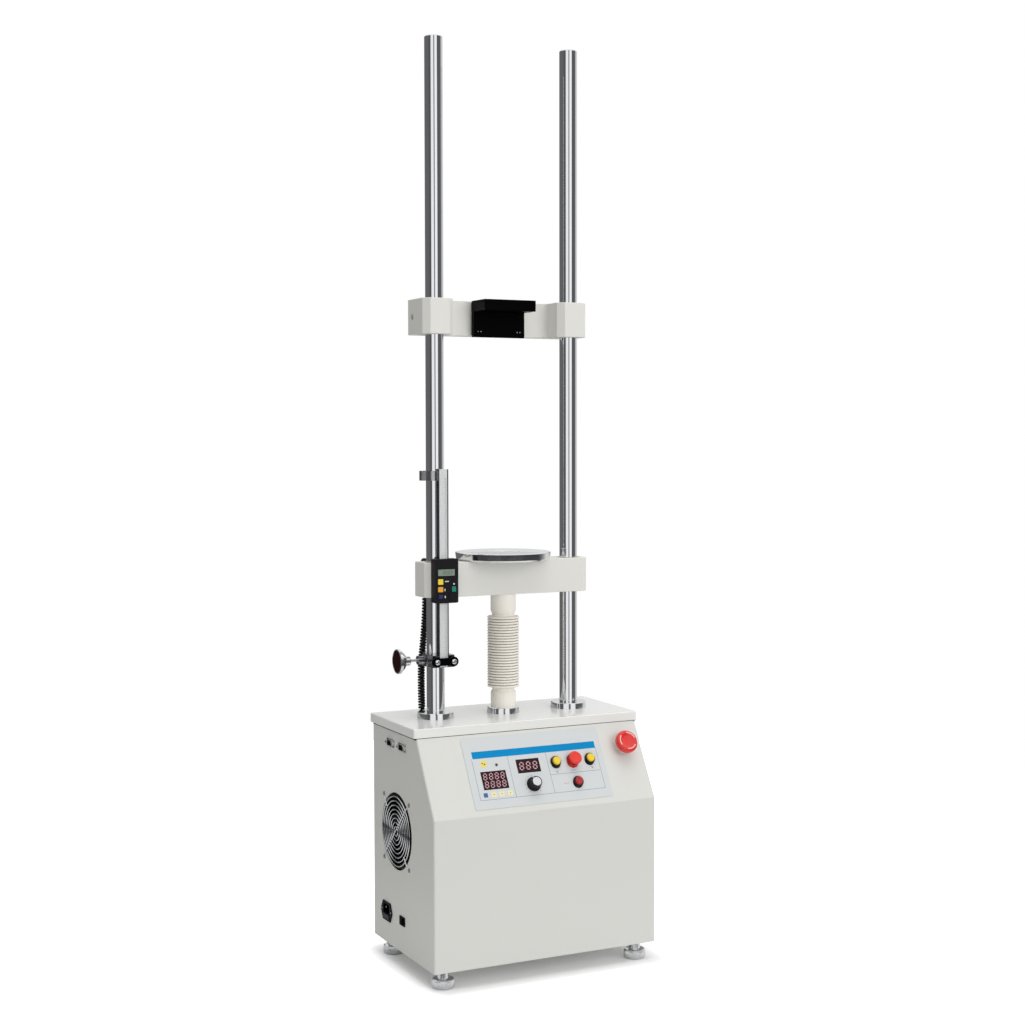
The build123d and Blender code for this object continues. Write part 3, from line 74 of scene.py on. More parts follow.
# The curly cord brings the signals of the load cell and of the scale down to the housing.
# It is a black moulded lead wound into a close coil, which is thinner and more stretched above.
cord_route = [
    (-0.1280, 0.0360, 0.640),
    (-0.1268, 0.0360, 0.612),
    (-0.1270, 0.0362, 0.575),
    (-0.1292, 0.0364, 0.535),
    (-0.1338, 0.0364, 0.488),
    (-0.1340, 0.0364, 0.455),
    (-0.1336, 0.0360, 0.428),
    (-0.1332, 0.0360, 0.408),
]
lead_radius = 0.0020
upper_coil_radius = 0.0045
lower_coil_radius = 0.0063
points_in_turn = 16
upper_pitch = 0.0054
lower_pitch = 0.0046
coil_lead_in = 0.006
coil_tightening = 1.6


def open_spline(name, points):
    """Curve object with one smooth open spline that has these points as its control points."""
    curve = bpy.data.curves.new(name, "CURVE")
    curve.dimensions = "3D"
    spline = curve.splines.new("NURBS")
    spline.points.add(len(points) - 1)
    for control, point in zip(spline.points, points):
        control.co = (*point, 1.0)
    spline.order_u = 3
    spline.use_endpoint_u = True
    curve.resolution_u = 12
    line = bpy.data.objects.new(name, curve)
    bpy.context.scene.collection.objects.link(line)
    return line


def points_along(line):
    """Points of the smooth line of a curve object that has no thickness yet."""
    bpy.context.view_layer.update()
    smooth_line = line.evaluated_get(bpy.context.evaluated_depsgraph_get())
    traced = bpy.data.meshes.new_from_object(smooth_line)
    points = [vertex.co.copy() for vertex in traced.vertices]
    bpy.data.meshes.remove(traced)
    return points


def at_length(points, length):
    """Place and direction at a length along a line of points."""
    for start, end in zip(points, points[1:]):
        step = (end - start).length
        if length <= step:
            return start.lerp(end, length / step), (end - start).normalized()
        length -= step
    return points[-1], (points[-1] - points[-2]).normalized()


def wired(tree, kind, entries, **settings):
    """Adds a node to a node tree and links or sets its inputs, given by name or by number."""
    node = tree.nodes.new(kind)
    for setting, value in settings.items():
        setattr(node, setting, value)
    for entry, value in entries.items():
        if isinstance(value, bpy.types.NodeSocket):
            tree.links.new(value, node.inputs[entry])
        else:
            node.inputs[entry].default_value = value
    return node


def fine_grain_group():
    """Node group for mottled colour, uneven gloss and a fine relief, in the object's own space."""
    group = bpy.data.node_groups.new("fine_grain", "ShaderNodeTree")
    for label, kind, default in (
        ("Colour", "NodeSocketColor", (0.5, 0.5, 0.5, 1.0)),
        ("Roughness", "NodeSocketFloat", 0.5),
        ("Scale", "NodeSocketFloat", 500.0),
        ("Stretch", "NodeSocketVector", (1.0, 1.0, 1.0)),
        ("Mottle", "NodeSocketFloat", 0.05),
        ("Unevenness", "NodeSocketFloat", 0.1),
    ):
        socket = group.interface.new_socket(label, in_out="INPUT", socket_type=kind)
        socket.default_value = default
    for label, kind in (
        ("Colour", "NodeSocketColor"), ("Roughness", "NodeSocketFloat"), ("Height", "NodeSocketFloat")
    ):
        group.interface.new_socket(label, in_out="OUTPUT", socket_type=kind)
    entry = group.nodes.new("NodeGroupInput")
    place = group.nodes.new("ShaderNodeTexCoord")
    stretched = wired(group, "ShaderNodeVectorMath",
                      {0: place.outputs["Object"], 1: entry.outputs["Stretch"]}, operation="MULTIPLY")
    grain = wired(group, "ShaderNodeTexNoise",
                  {"Vector": stretched.outputs[0], "Scale": entry.outputs["Scale"], "Detail": 3.0})
    cloud = wired(group, "ShaderNodeTexNoise",
                  {"Vector": place.outputs["Object"], "Scale": 9.0, "Detail": 2.0})
    both = wired(group, "ShaderNodeMath", {0: grain.outputs["Fac"], 1: cloud.outputs["Fac"]}, operation="ADD")
    centred = wired(group, "ShaderNodeMath", {0: both.outputs[0], 1: 1.0}, operation="SUBTRACT")
    shade = wired(group, "ShaderNodeMath", {0: centred.outputs[0], 1: entry.outputs["Mottle"], 2: 1.0},
                  operation="MULTIPLY_ADD")
    tinted = wired(group, "ShaderNodeVectorMath", {0: entry.outputs["Colour"], "Scale": shade.outputs[0]},
                   operation="SCALE")
    gloss = wired(group, "ShaderNodeMath",
                  {0: centred.outputs[0], 1: entry.outputs["Unevenness"], 2: entry.outputs["Roughness"]},
                  operation="MULTIPLY_ADD", use_clamp=True)
    wired(group, "NodeGroupOutput",
          {"Colour": tinted.outputs[0], "Roughness": gloss.outputs[0], "Height": grain.outputs["Fac"]})
    return group


fine_grain = fine_grain_group()


def finish(name, colour, roughness, metal=0.0, coat=0.0, scale=600.0, stretch=(1, 1, 1), mottle=0.04,
           unevenness=0.08, relief=0.00002, specular=0.5):
    """Material of one surface: its colour and gloss, and the size and depth of its grain."""
    material = bpy.data.materials.new(name)
    material.use_nodes = True
    tree = material.node_tree
    shader = tree.nodes["Principled BSDF"]
    grain = wired(tree, "ShaderNodeGroup",
                  {"Colour": (*colour, 1.0), "Roughness": roughness, "Scale": scale, "Stretch": stretch,
                   "Mottle": mottle, "Unevenness": unevenness}, node_tree=fine_grain)
    raised = wired(tree, "ShaderNodeBump",
                   {"Strength": 0.5, "Distance": relief, "Height": grain.outputs["Height"]})
    tree.links.new(grain.outputs["Colour"], shader.inputs["Base Color"])
    tree.links.new(grain.outputs["Roughness"], shader.inputs["Roughness"])
    tree.links.new(raised.outputs["Normal"], shader.inputs["Normal"])
    shader.inputs["Metallic"].default_value = metal
    shader.inputs["Coat Weight"].default_value = coat
    shader.inputs["Specular IOR Level"].default_value = specular
    return material


def give(material, *names):
    """Puts a material on CAD nodes."""
    for name in names:
        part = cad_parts[name]
        if not part.material_slots:
            part.data.materials.append(material)
        for slot in part.material_slots:
            slot.material = material


def add_piece(name, shape, material, body, replaced=(), sharp=radians(32)):
    """Adds a finished shape or mesh as a piece that rides on a body and may stand for CAD nodes."""
    mesh = shape
    if isinstance(shape, bmesh.types.BMesh):
        mesh = bpy.data.meshes.new(name)
        shape.to_mesh(mesh)
        shape.free()
    mesh.polygons.foreach_set("use_smooth", [True] * len(mesh.polygons))
    mesh.set_sharp_from_angle(angle=sharp)
    mesh.materials.append(material)
    piece = bpy.data.objects.new(name, mesh)
    bpy.context.scene.collection.objects.link(piece)
    if body:
        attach(piece, body)
    if replaced:
        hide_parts(*replaced)
    return piece


route_line = open_spline("cord_route", cord_route)
route_points = points_along(route_line)
bpy.data.objects.remove(route_line)
route_length = sum((end - start).length for start, end in zip(route_points, route_points[1:]))
coil_points = []
along = 0.0
turn = 0.0
while along < route_length:
    middle, heading = at_length(route_points, along)
    side = (Vector((1, 0, 0)) - heading * heading.x).normalized()
    swing = Matrix.Rotation(turn, 3, heading)
    from_end = min(along, route_length - along)
    swell = min(1.0, from_end / coil_lead_in)
    share = min(1.0, coil_tightening * along / route_length)
    coil_radius = upper_coil_radius + (lower_coil_radius - upper_coil_radius) * share
    coil_points.append(middle + swing @ side * (coil_radius - lead_radius) * swell)
    pitch = upper_pitch + (lower_pitch - upper_pitch) * share
    along += pitch / points_in_turn
    turn += tau / points_in_turn
coil_points.append(route_points[-1])
coil_line = open_spline("cord_coil", coil_points)
coil_line.data.resolution_u = 2
coil_path = points_along(coil_line)
coil_line.data.bevel_depth = lead_radius
coil_line.data.bevel_resolution = 2
coil_line.data.use_fill_caps = True
bpy.context.view_layer.update()
coil_mesh = bpy.data.meshes.new_from_object(
    coil_line.evaluated_get(bpy.context.evaluated_depsgraph_get())
)
bpy.data.objects.remove(coil_line)
coil_mesh.materials.clear()
cord_black = finish("cord_black", (0.008, 0.008, 0.009), 0.38, scale=1500.0, relief=0.00001,
                    specular=0.25)
curly_cord = add_piece("curly_cord_coil", coil_mesh, cord_black, None, ["curly_cord"])
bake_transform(curly_cord)

# The studio is a white floor that keeps the shadow, with soft light from above and in front.
# What bright metal mirrors is white too, with tall dark screens between the soft lights.
floor_radius = 2.0
floor_shape = bmesh.new()
bmesh.ops.create_circle(floor_shape, cap_ends=True, radius=floor_radius, segments=96)
floor_mesh = bpy.data.meshes.new("floor")
floor_shape.to_mesh(floor_mesh)
floor_shape.free()
floor = bpy.data.objects.new("floor", floor_mesh)
bpy.context.scene.collection.objects.link(floor)
floor_white = bpy.data.materials.new("floor_white")
floor_white.use_nodes = True
tree = floor_white.node_tree
mix_share = 0
mix_first = 6
mix_second = 7
mix_result = 2
plain_white = (1.0, 1.0, 1.0, 1.0)
floor_tone = (0.88, 0.88, 0.88, 1.0)
dark_room_tone = (0.08, 0.08, 0.085, 1.0)
seen_by = tree.nodes.new("ShaderNodeLightPath")
floor_place = tree.nodes.new("ShaderNodeTexCoord")
from_machine = wired(tree, "ShaderNodeVectorMath", {0: floor_place.outputs["Object"]}, operation="LENGTH")
# Near the machine the floor keeps the shadow, and further out it turns into plain white
footprint_middle = (0.012, -0.038, 0.0)
footprint_half = (0.187, 0.125, 0.0)
shadow_reach = 0.078
near_lift = 0.12
from_middle = wired(tree, "ShaderNodeVectorMath",
                    {0: floor_place.outputs["Object"], 1: footprint_middle}, operation="SUBTRACT")
either_side = wired(tree, "ShaderNodeVectorMath", {0: from_middle.outputs[0]}, operation="ABSOLUTE")
from_footprint = wired(tree, "ShaderNodeVectorMath", {0: either_side.outputs[0], 1: footprint_half},
                       operation="SUBTRACT")
outside = wired(tree, "ShaderNodeVectorMath", {0: from_footprint.outputs[0], 1: (0.0, 0.0, 0.0)},
                operation="MAXIMUM")
clear_of_machine = wired(tree, "ShaderNodeVectorMath", {0: outside.outputs[0]}, operation="LENGTH")
whiteness = wired(tree, "ShaderNodeMapRange",
                  {"Value": clear_of_machine.outputs["Value"], "From Min": 0.0, "From Max": shadow_reach,
                   "To Min": near_lift, "To Max": 1.0}, interpolation_type="SMOOTHSTEP")
lift = wired(tree, "ShaderNodeMath", {0: seen_by.outputs["Is Camera Ray"], 1: whiteness.outputs["Result"]},
             operation="MULTIPLY")
# What bright metal mirrors of the floor gets darker further out, as in a dark room
dimming_starts = 0.35
dimming_ends = 0.9
dimness = wired(tree, "ShaderNodeMapRange",
                {"Value": from_machine.outputs["Value"], "From Min": dimming_starts,
                 "From Max": dimming_ends}, interpolation_type="SMOOTHSTEP")
dimmed = wired(tree, "ShaderNodeMath", {0: seen_by.outputs["Is Glossy Ray"], 1: dimness.outputs["Result"]},
               operation="MULTIPLY")
floor_colour = wired(tree, "ShaderNodeMix",
                     {mix_share: dimmed.outputs[0], mix_first: floor_tone, mix_second: dark_room_tone},
                     data_type="RGBA")
floor_shader = tree.nodes["Principled BSDF"]
tree.links.new(floor_colour.outputs[mix_result], floor_shader.inputs["Base Color"])
floor_shader.inputs["Roughness"].default_value = 1.0
floor_shader.inputs["Specular IOR Level"].default_value = 0.0
floor_shader.inputs["Emission Color"].default_value = plain_white
tree.links.new(lift.outputs[0], floor_shader.inputs["Emission Strength"])
floor_mesh.materials.append(floor_white)

studio = bpy.data.worlds.new("studio")
bpy.context.scene.world = studio
studio.use_nodes = True
tree = studio.node_tree
seen_by = tree.nodes.new("ShaderNodeLightPath")
look = tree.nodes.new("ShaderNodeTexCoord")
split = wired(tree, "ShaderNodeSeparateXYZ", {0: look.outputs["Generated"]})
angle = wired(tree, "ShaderNodeMath", {0: split.outputs["Y"], 1: split.outputs["X"]}, operation="ARCTAN2")
# Angle round the machine from the camera's side, as a share of a full turn from behind
camera_side = atan2(camera_place.y, camera_place.x)
turned_angle = wired(tree, "ShaderNodeMath", {0: angle.outputs[0], 1: 1 / tau, 2: 0.5 - camera_side / tau},
                     operation="MULTIPLY_ADD")
wrapped = wired(tree, "ShaderNodeMath", {0: turned_angle.outputs[0]}, operation="FRACT")
screens = wired(tree, "ShaderNodeValToRGB", {"Fac": wrapped.outputs[0]})
# Each screen or light: where it starts, in degrees to the right of the camera, and how bright it is
screen_bands = (
    (-180, 0.74), (-176, 0.74), (-172, 0.14), (-70, 0.13), (-36, 0.07), (-30, 0.95), (0, 0.95), (3, 0.12),
    (12, 0.12), (15, 1.0), (43, 1.0), (47, 0.10), (98, 0.12), (106, 0.5), (134, 0.74), (179, 0.74),
)
ramp = screens.color_ramp
for index, (start, level) in enumerate(screen_bands):
    share = start / 360 + 0.5
    if index < 2:
        stop = ramp.elements[index]
        stop.position = share
    else:
        stop = ramp.elements.new(share)
    stop.color = (level, level, level * 1.01, 1.0)
ceiling_starts = 0.25
ceiling_ends = 0.7
overhead = wired(tree, "ShaderNodeMapRange",
                 {"Value": split.outputs["Z"], "From Min": ceiling_starts, "From Max": ceiling_ends})
ground_starts = -0.17
ground_ends = -0.22
ground_tone = (0.05, 0.05, 0.055, 1.0)
underfoot = wired(tree, "ShaderNodeMapRange",
                  {"Value": split.outputs["Z"], "From Min": ground_starts, "From Max": ground_ends},
                  interpolation_type="SMOOTHSTEP")
above_floor = wired(tree, "ShaderNodeMix",
                    {mix_share: underfoot.outputs["Result"], mix_first: screens.outputs["Color"],
                     mix_second: ground_tone}, data_type="RGBA")
mirrored = wired(tree, "ShaderNodeMix",
                 {mix_share: overhead.outputs[0], mix_first: above_floor.outputs[mix_result],
                  mix_second: plain_white}, data_type="RGBA")
# The soft light is weaker from the left, where no lamp stands
left_level = 0.40
soft_level = 0.66
weakest_at = -0.9
full_from = 0.3
soft_side = wired(tree, "ShaderNodeMapRange",
                  {"Value": split.outputs["X"], "From Min": weakest_at, "From Max": full_from,
                   "To Min": left_level, "To Max": soft_level})
lit = wired(tree, "ShaderNodeMix",
            {mix_share: seen_by.outputs["Is Glossy Ray"], mix_first: soft_side.outputs["Result"],
             mix_second: mirrored.outputs[mix_result]}, data_type="RGBA")
clear = wired(tree, "ShaderNodeMath",
              {0: seen_by.outputs["Is Camera Ray"], 1: seen_by.outputs["Is Transmission Ray"]},
              operation="MAXIMUM")
shown = wired(tree, "ShaderNodeMix",
              {mix_share: clear.outputs[0], mix_first: lit.outputs[mix_result],
               mix_second: plain_white}, data_type="RGBA")
tree.links.new(shown.outputs[mix_result], tree.nodes["Background"].inputs["Color"])


def soft_lamp(name, place, target, size, power):
    """Square soft lamp that faces a target and isn't mirrored."""
    lamp = bpy.data.lights.new(name, "AREA")
    lamp.size = size
    lamp.energy = power
    stand = bpy.data.objects.new(name, lamp)
    stand.location = place
    stand.rotation_euler = (Vector(target) - Vector(place)).to_track_quat("-Z", "Y").to_euler()
    stand.visible_glossy = False
    bpy.context.scene.collection.objects.link(stand)


soft_lamp("front_lamp", (0.8, -3.6, 1.7), (0.0, 0.0, 0.5), 2.2, 36.0)
soft_lamp("top_lamp", (0.2, -0.4, 3.4), (0.0, 0.0, 0.4), 2.4, 42.0)

# The housing is folded from steel sheet and sprayed a light warm grey with a fine texture.
# Its floor and its vented back are flat sheets that are screwed in.
housing_grey = finish("housing_grey", (0.70, 0.70, 0.665), 0.42, scale=1400.0, mottle=0.015, relief=0.00004)
give(housing_grey, "housing_shell", "rear_panel", "bottom_plate")

# The top plate is thick machined steel, sprayed the same colour but smoother and glossier. Its grey is set
# lighter than the housing's as painted light, for the brighter light on its top.
# A thin black strip along the seam between it and the housing is painted shade: the shadow line under the
# plate's overhang.
lit_plate_grey = finish("lit_plate_grey", (0.86, 0.86, 0.83), 0.22, coat=0.25, scale=1400.0, mottle=0.01,
                    unevenness=0.04, relief=0.00001)
give(lit_plate_grey, "top_plate")

shade_strip_black = finish("shade_strip_black", (0.012, 0.012, 0.012), 0.6, scale=900.0, specular=0.2)
shell_low, shell_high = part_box("housing_shell")
slope_top_y = -0.0935
shade_strip_height = 0.0011
side_shade_strip_height = 0.0027
shade_strip_proud = 0.0006


def add_bar(shape, low, high, matrix=None):
    """Adds a plain bar between two corners."""
    made = bmesh.ops.create_cube(shape, size=1.0)["verts"]
    size = Vector(high) - Vector(low)
    middle = (Vector(high) + Vector(low)) / 2
    bmesh.ops.scale(shape, vec=size, verts=made)
    bmesh.ops.translate(shape, vec=middle, verts=made)
    if matrix is not None:
        bmesh.ops.transform(shape, matrix=matrix, verts=made)


# Black strips round the top edge of the housing are a painted shadow under the plate's rim.
shade_strip = bmesh.new()
for side in (shell_low.x, shell_high.x):
    add_bar(shade_strip, (side - shade_strip_proud, slope_top_y - shade_strip_proud, shell_high.z - side_shade_strip_height),
            (side + shade_strip_proud, shell_high.y, shell_high.z))
for y in (slope_top_y, shell_high.y):
    add_bar(shade_strip, (shell_low.x - shade_strip_proud, y - shade_strip_proud, shell_high.z - shade_strip_height),
            (shell_high.x + shade_strip_proud, y + shade_strip_proud, shell_high.z))
add_piece("plate_shade_strip", shade_strip, shade_strip_black, "frame")

# The two guide columns are ground and hard chromed steel bars with a small chamfer on top.
# A chromed collar seats each of them on the plate, and a lower one holds the foot of the boot.
column_low, column_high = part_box("columns")
column_radius = (column_high.y - column_low.y) / 2
column_x = column_high.x - column_radius
column_chamfer = 0.002
hard_chrome = finish("hard_chrome", (0.83, 0.84, 0.86), 0.07, metal=1.0, scale=260.0, stretch=(1, 1, 0.05),
                     mottle=0.03, unevenness=0.05, relief=0.0)


def turned(name, outline, centre, material, body, replaced=(), direction=(0, 0, 1), steps=96,
           rounding=0.0, closed=False):
    """Turns an outline of (radius, height) points about an axis through a centre."""
    shape = bmesh.new()
    turn_outline(shape, outline, centre, direction, steps, rounding, closed)
    return add_piece(name, shape, material, body, replaced)


def turn_outline(shape, outline, centre, direction=(0, 0, 1), steps=96, rounding=0.0, closed=False):
    """Adds a turned body to a shape."""
    corners = [shape.verts.new((radius, 0.0, height)) for radius, height in outline]
    ends = corners[1:] + corners[:1] if closed else corners[1:]
    sides = [shape.edges.new(pair) for pair in zip(corners, ends)]
    spun = bmesh.ops.spin(shape, geom=corners + sides, cent=(0, 0, 0), axis=(0, 0, 1), angle=tau,
                          steps=steps, use_merge=True)
    made = set(corners) | {item for item in spun["geom_last"] if isinstance(item, bmesh.types.BMVert)}
    reach = set()
    waiting = list(made)
    sharp_corner = radians(25)
    while waiting:
        vertex = waiting.pop()
        if vertex in reach:
            continue
        reach.add(vertex)
        waiting.extend(edge.other_vert(vertex) for edge in vertex.link_edges)
    bmesh.ops.remove_doubles(shape, verts=list(reach), dist=1e-6)
    reach = [vertex for vertex in reach if vertex.is_valid]
    faces = list({face for vertex in reach for face in vertex.link_faces})
    bmesh.ops.recalc_face_normals(shape, faces=faces)
    if rounding:
        rims = {edge for face in faces for edge in face.edges
                if len(edge.link_faces) == 2 and edge.calc_face_angle(0.0) > sharp_corner}
        rounded = bmesh.ops.bevel(shape, geom=list(rims), offset=rounding, offset_type="OFFSET",
                                  segments=3, profile=0.5, affect="EDGES", material=-1,
                                  clamp_overlap=True)
        kept = [face for face in faces + rounded["faces"] if face.is_valid]
        reach = list({vertex for face in kept for vertex in face.verts})
    swing = Vector((0, 0, 1)).rotation_difference(Vector(direction)).to_matrix().to_4x4()
    bmesh.ops.transform(shape, matrix=Matrix.Translation(centre) @ swing, verts=reach)


columns = bmesh.new()
for x in (-column_x, column_x):
    turn_outline(
        columns,
        [
            (0.0, column_low.z),
            (column_radius, column_low.z),
            (column_radius, column_high.z - column_chamfer),
            (column_radius - column_chamfer, column_high.z),
            (0.0, column_high.z),
        ],
        (x, 0, 0), steps=128,
    )
add_piece("guide_columns", columns, hard_chrome, "frame", ["columns"])

turned_chrome = finish("turned_chrome", (0.80, 0.81, 0.82), 0.10, metal=1.0, scale=320.0,
                       stretch=(1, 1, 0.1), mottle=0.05, unevenness=0.12, relief=0.000004)
collar_low, collar_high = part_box("column_collars")
collar_radius = (collar_high.y - collar_low.y) / 2
collar_draft = 0.0009
collar_edge = 0.0008
collars = bmesh.new()
for x in (-column_x, column_x):
    turn_outline(
        collars,
        [
            (column_radius, collar_low.z),
            (collar_radius, collar_low.z),
            (collar_radius - collar_draft, collar_high.z - collar_edge),
            (collar_radius - collar_draft - collar_edge, collar_high.z),
            (column_radius, collar_high.z),
        ],
        (x, 0, 0), closed=True,
    )
add_piece("column_seats", collars, turned_chrome, "frame", ["column_collars"])
ring_low, ring_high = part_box("boot_ring")
ring_bore = 0.0205
turned("boot_seat",
       [
           (ring_bore, ring_low.z),
           (ring_high.x, ring_low.z),
           (ring_high.x - collar_draft, ring_high.z - collar_edge),
           (ring_high.x - collar_draft - collar_edge, ring_high.z),
           (ring_bore, ring_high.z),
       ],
       (0, 0, 0), turned_chrome, "frame", ["boot_ring"], closed=True)

# The boot is a blown sleeve of cream plastic that keeps dust off the lead screw.
# Plain cuffs grip the ring below and the crosshead above, with close rounded folds between.
# The grooves between the folds get a darker cream, which is painted shade.
boot_low, boot_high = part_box("boot")
boot_radius = boot_high.x
fold_count = 26
fold_pitch = 0.0046
cuff_radius = 0.021
cuff_height = 0.028
neck_radius = 0.0185
folds_start = boot_low.z + 0.033
groove_depth = 0.0055
groove_sharpness = 0.30
points_in_fold = 10
boot_wall = 0.0015
boot_cream = finish("boot_cream", (0.95, 0.915, 0.83), 0.5, scale=700.0, mottle=0.03, relief=0.00003)
groove_shade_cream = finish("groove_shade_cream", (0.73, 0.695, 0.62), 0.6, scale=700.0, mottle=0.03, relief=0.00003)
boot_outline = [
    (cuff_radius - boot_wall, boot_low.z),
    (cuff_radius, boot_low.z),
    (cuff_radius, boot_low.z + cuff_height - 0.004),
    (cuff_radius - 0.0006, boot_low.z + cuff_height - 0.0022),
    (neck_radius, boot_low.z + cuff_height),
    (neck_radius, folds_start - 0.001),
]
for step in range(fold_count * points_in_fold + 1):
    swell = abs(sin(pi * step / points_in_fold)) ** groove_sharpness
    boot_outline.append(
        (boot_radius - groove_depth * (1 - swell), folds_start + step * fold_pitch / points_in_fold)
    )
folds_end = folds_start + fold_count * fold_pitch
boot_outline += [
    (neck_radius, folds_end + 0.0008),
    (neck_radius, folds_end + 0.0030),
    (cuff_radius - 0.0012, folds_end + 0.0062),
    (cuff_radius, folds_end + 0.0090),
    (cuff_radius, boot_high.z),
    (cuff_radius - boot_wall, boot_high.z),
]
boot_shape = bmesh.new()
turn_outline(boot_shape, boot_outline, (0, 0, 0), steps=96)
boot = add_piece("dust_boot", boot_shape, boot_cream, None, ["boot"],
                 sharp=radians(60))
shaded_depth = 0.0009
# Faces deep in the grooves take the darker cream as painted shade.
boot.data.materials.append(groove_shade_cream)
for face in boot.data.polygons:
    in_folds = folds_start < face.center.z < folds_end
    if in_folds and face.center.xy.length < boot_radius - shaded_depth:
        face.material_index = 1
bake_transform(boot)

# Four levelling feet are turned from steel and chromed, each with a knurled ring for the fingers.
# A polished neck stands in the hollow of the ring and screws up into the floor of the housing.
foot_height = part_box("bottom_plate")[0].z
foot_ring_radius = 0.0183
foot_ring_top = 0.015
knurl_notches = 48
knurl_depth = 0.0008
knurl_low = 0.0040
knurl_high = 0.0128
stud_radius = 0.0050
stud_reach = 0.0200
knurled_chrome = finish("knurled_chrome", (0.72, 0.73, 0.74), 0.10, metal=1.0, scale=900.0, mottle=0.08,
                        unevenness=0.2, relief=0.00001)


def foot_shape(centre):
    """Levelling foot: rounded base, knurled ring, hollow top and bright neck."""
    shape = bmesh.new()
    turn_outline(
        shape,
        [
            (0.0, 0.0),
            (foot_ring_radius - 0.0030, 0.0),
            (foot_ring_radius - 0.0016, 0.0008),
            (foot_ring_radius - 0.0008, 0.0022),
            (foot_ring_radius - 0.0002, 0.0046),
            (foot_ring_radius, 0.0074),
            (foot_ring_radius - 0.0002, 0.0100),
            (foot_ring_radius - 0.0007, 0.0124),
            (foot_ring_radius - 0.0013, 0.0139),
            (foot_ring_radius - 0.0024, foot_ring_top),
            (foot_ring_radius - 0.0036, foot_ring_top - 0.0004),
            (0.0122, foot_ring_top - 0.0022),
            (0.0108, foot_ring_top - 0.0034),
            (0.0098, foot_ring_top - 0.0030),
            (0.0092, foot_ring_top - 0.0010),
            (0.0090, foot_height - 0.0040),
            (0.0082, foot_height - 0.0010),
            (0.0060, foot_height - 0.0003),
            (stud_radius, foot_height + 0.0002),
            (stud_radius, foot_height + stud_reach - 0.0010),
            (stud_radius - 0.0008, foot_height + stud_reach),
            (0.0, foot_height + stud_reach),
        ],
        centre, steps=2 * knurl_notches,
    )
    for vertex in shape.verts:
        away = hypot(vertex.co.x - centre[0], vertex.co.y - centre[1])
        if away > foot_ring_radius - 0.0010 and knurl_low < vertex.co.z < knurl_high:
            angle = atan2(vertex.co.y - centre[1], vertex.co.x - centre[0])
            if round(angle / tau * 2 * knurl_notches) % 2:
                pull = 1 - knurl_depth / away
                vertex.co.x = centre[0] + (vertex.co.x - centre[0]) * pull
                vertex.co.y = centre[1] + (vertex.co.y - centre[1]) * pull
    return shape


for corner in ("front_left", "front_right", "rear_left", "rear_right"):
    low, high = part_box(f"foot_{corner}")
    middle = ((low.x + high.x) / 2, (low.y + high.y) / 2, 0)
    add_piece(f"levelling_foot_{corner}", foot_shape(middle),
              knurled_chrome, f"foot_{corner}", [f"foot_{corner}"])

# The moving crosshead is a milled beam, sprayed off-white, with bronze bushes on the columns.
# The lead screw is seated in its underside.
beam_white = finish("beam_white", (0.77, 0.765, 0.72), 0.38, scale=1200.0, mottle=0.012, relief=0.00003)
give(beam_white, "crosshead_beam", "upper_crosshead")
bush_bronze = finish("bush_bronze", (0.62, 0.44, 0.20), 0.3, metal=1.0, scale=300.0, stretch=(1, 1, 8))
give(bush_bronze, "crosshead_bushes", "spindle_nut")
ground_steel = finish("ground_steel", (0.56, 0.57, 0.58), 0.28, metal=1.0, scale=400.0, stretch=(1, 1, 6))
give(ground_steel, "bearing_housing", "motor_bracket", "lead_screw")

# The compression plate is a hardened round plate, chromed, with a lapped top.
# Its rim is polished and its lower edge is bevelled.
table_low, table_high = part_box("compression_plate")
table_radius = (table_high.x - table_low.x) / 2
table_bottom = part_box("crosshead_beam")[1].z
table_bolt_radius = 0.004
lapped_chrome = finish("lapped_chrome", (0.88, 0.89, 0.90), 0.12, metal=1.0, scale=90.0, mottle=0.03,
                       unevenness=0.10, relief=0.000003)
turned("compression_table",
       [
           (0.0, table_low.z),
           (table_bolt_radius, table_low.z),
           (table_bolt_radius, table_bottom),
           (table_radius - 0.0036, table_bottom),
           (table_radius - 0.0012, table_bottom + 0.0024),
           (table_radius, table_high.z - 0.0007),
           (table_radius - 0.0007, table_high.z),
           (table_bolt_radius, table_high.z),
           (table_bolt_radius - 0.001, table_high.z - 0.0006),
           (0.0, table_high.z - 0.0006),
       ],
       (0, 0, 0), lapped_chrome, "crosshead", ["compression_plate"], steps=160)

# The elbow and the grommet of the curly cord are moulded in black plastic.
# The elbow sits on the back of the crosshead, and the grommet in the top plate.
moulded_black = finish("moulded_black", (0.010, 0.010, 0.012), 0.42, scale=1500.0, relief=0.00003,
                       specular=0.2)
give(moulded_black, "cord_elbow", "cord_grommet")

# The upper crosshead is split behind each column and pulled together by a socket screw.
# An angle bracket of black anodised plate holds the load cell in front of it.
# Two pairs of small screws fix the bracket.
bracket_black = finish("bracket_black", (0.0015, 0.0015, 0.0015), 0.36, scale=1300.0, mottle=0.1,
                       relief=0.00002, specular=0.03)
give(bracket_black, "load_bracket", "clamp_screws")
bracket_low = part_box("load_bracket")[0]
bracket_face = 0.013
pair_x = 0.0335
pair_gap = 0.0052
small_screw_radius = 0.0011
small_screw_z = bracket_low.z + 0.0092
screw_steel = finish("screw_steel", (0.62, 0.63, 0.64), 0.3, metal=1.0, scale=900.0)
small_screws = bmesh.new()
for side in (-1, 1):
    for x in (side * pair_x, side * (pair_x + pair_gap)):
        turn_outline(
            small_screws,
            [(0.0, -0.0005), (small_screw_radius, -0.0005), (small_screw_radius, 0.0003),
             (0.0007, 0.0005), (0.0006, 0.0001), (0.0, 0.0001)],
            (x, bracket_face, small_screw_z), (0, -1, 0), steps=20,
        )
add_piece("bracket_screws", small_screws, screw_steel, "upper_crosshead")
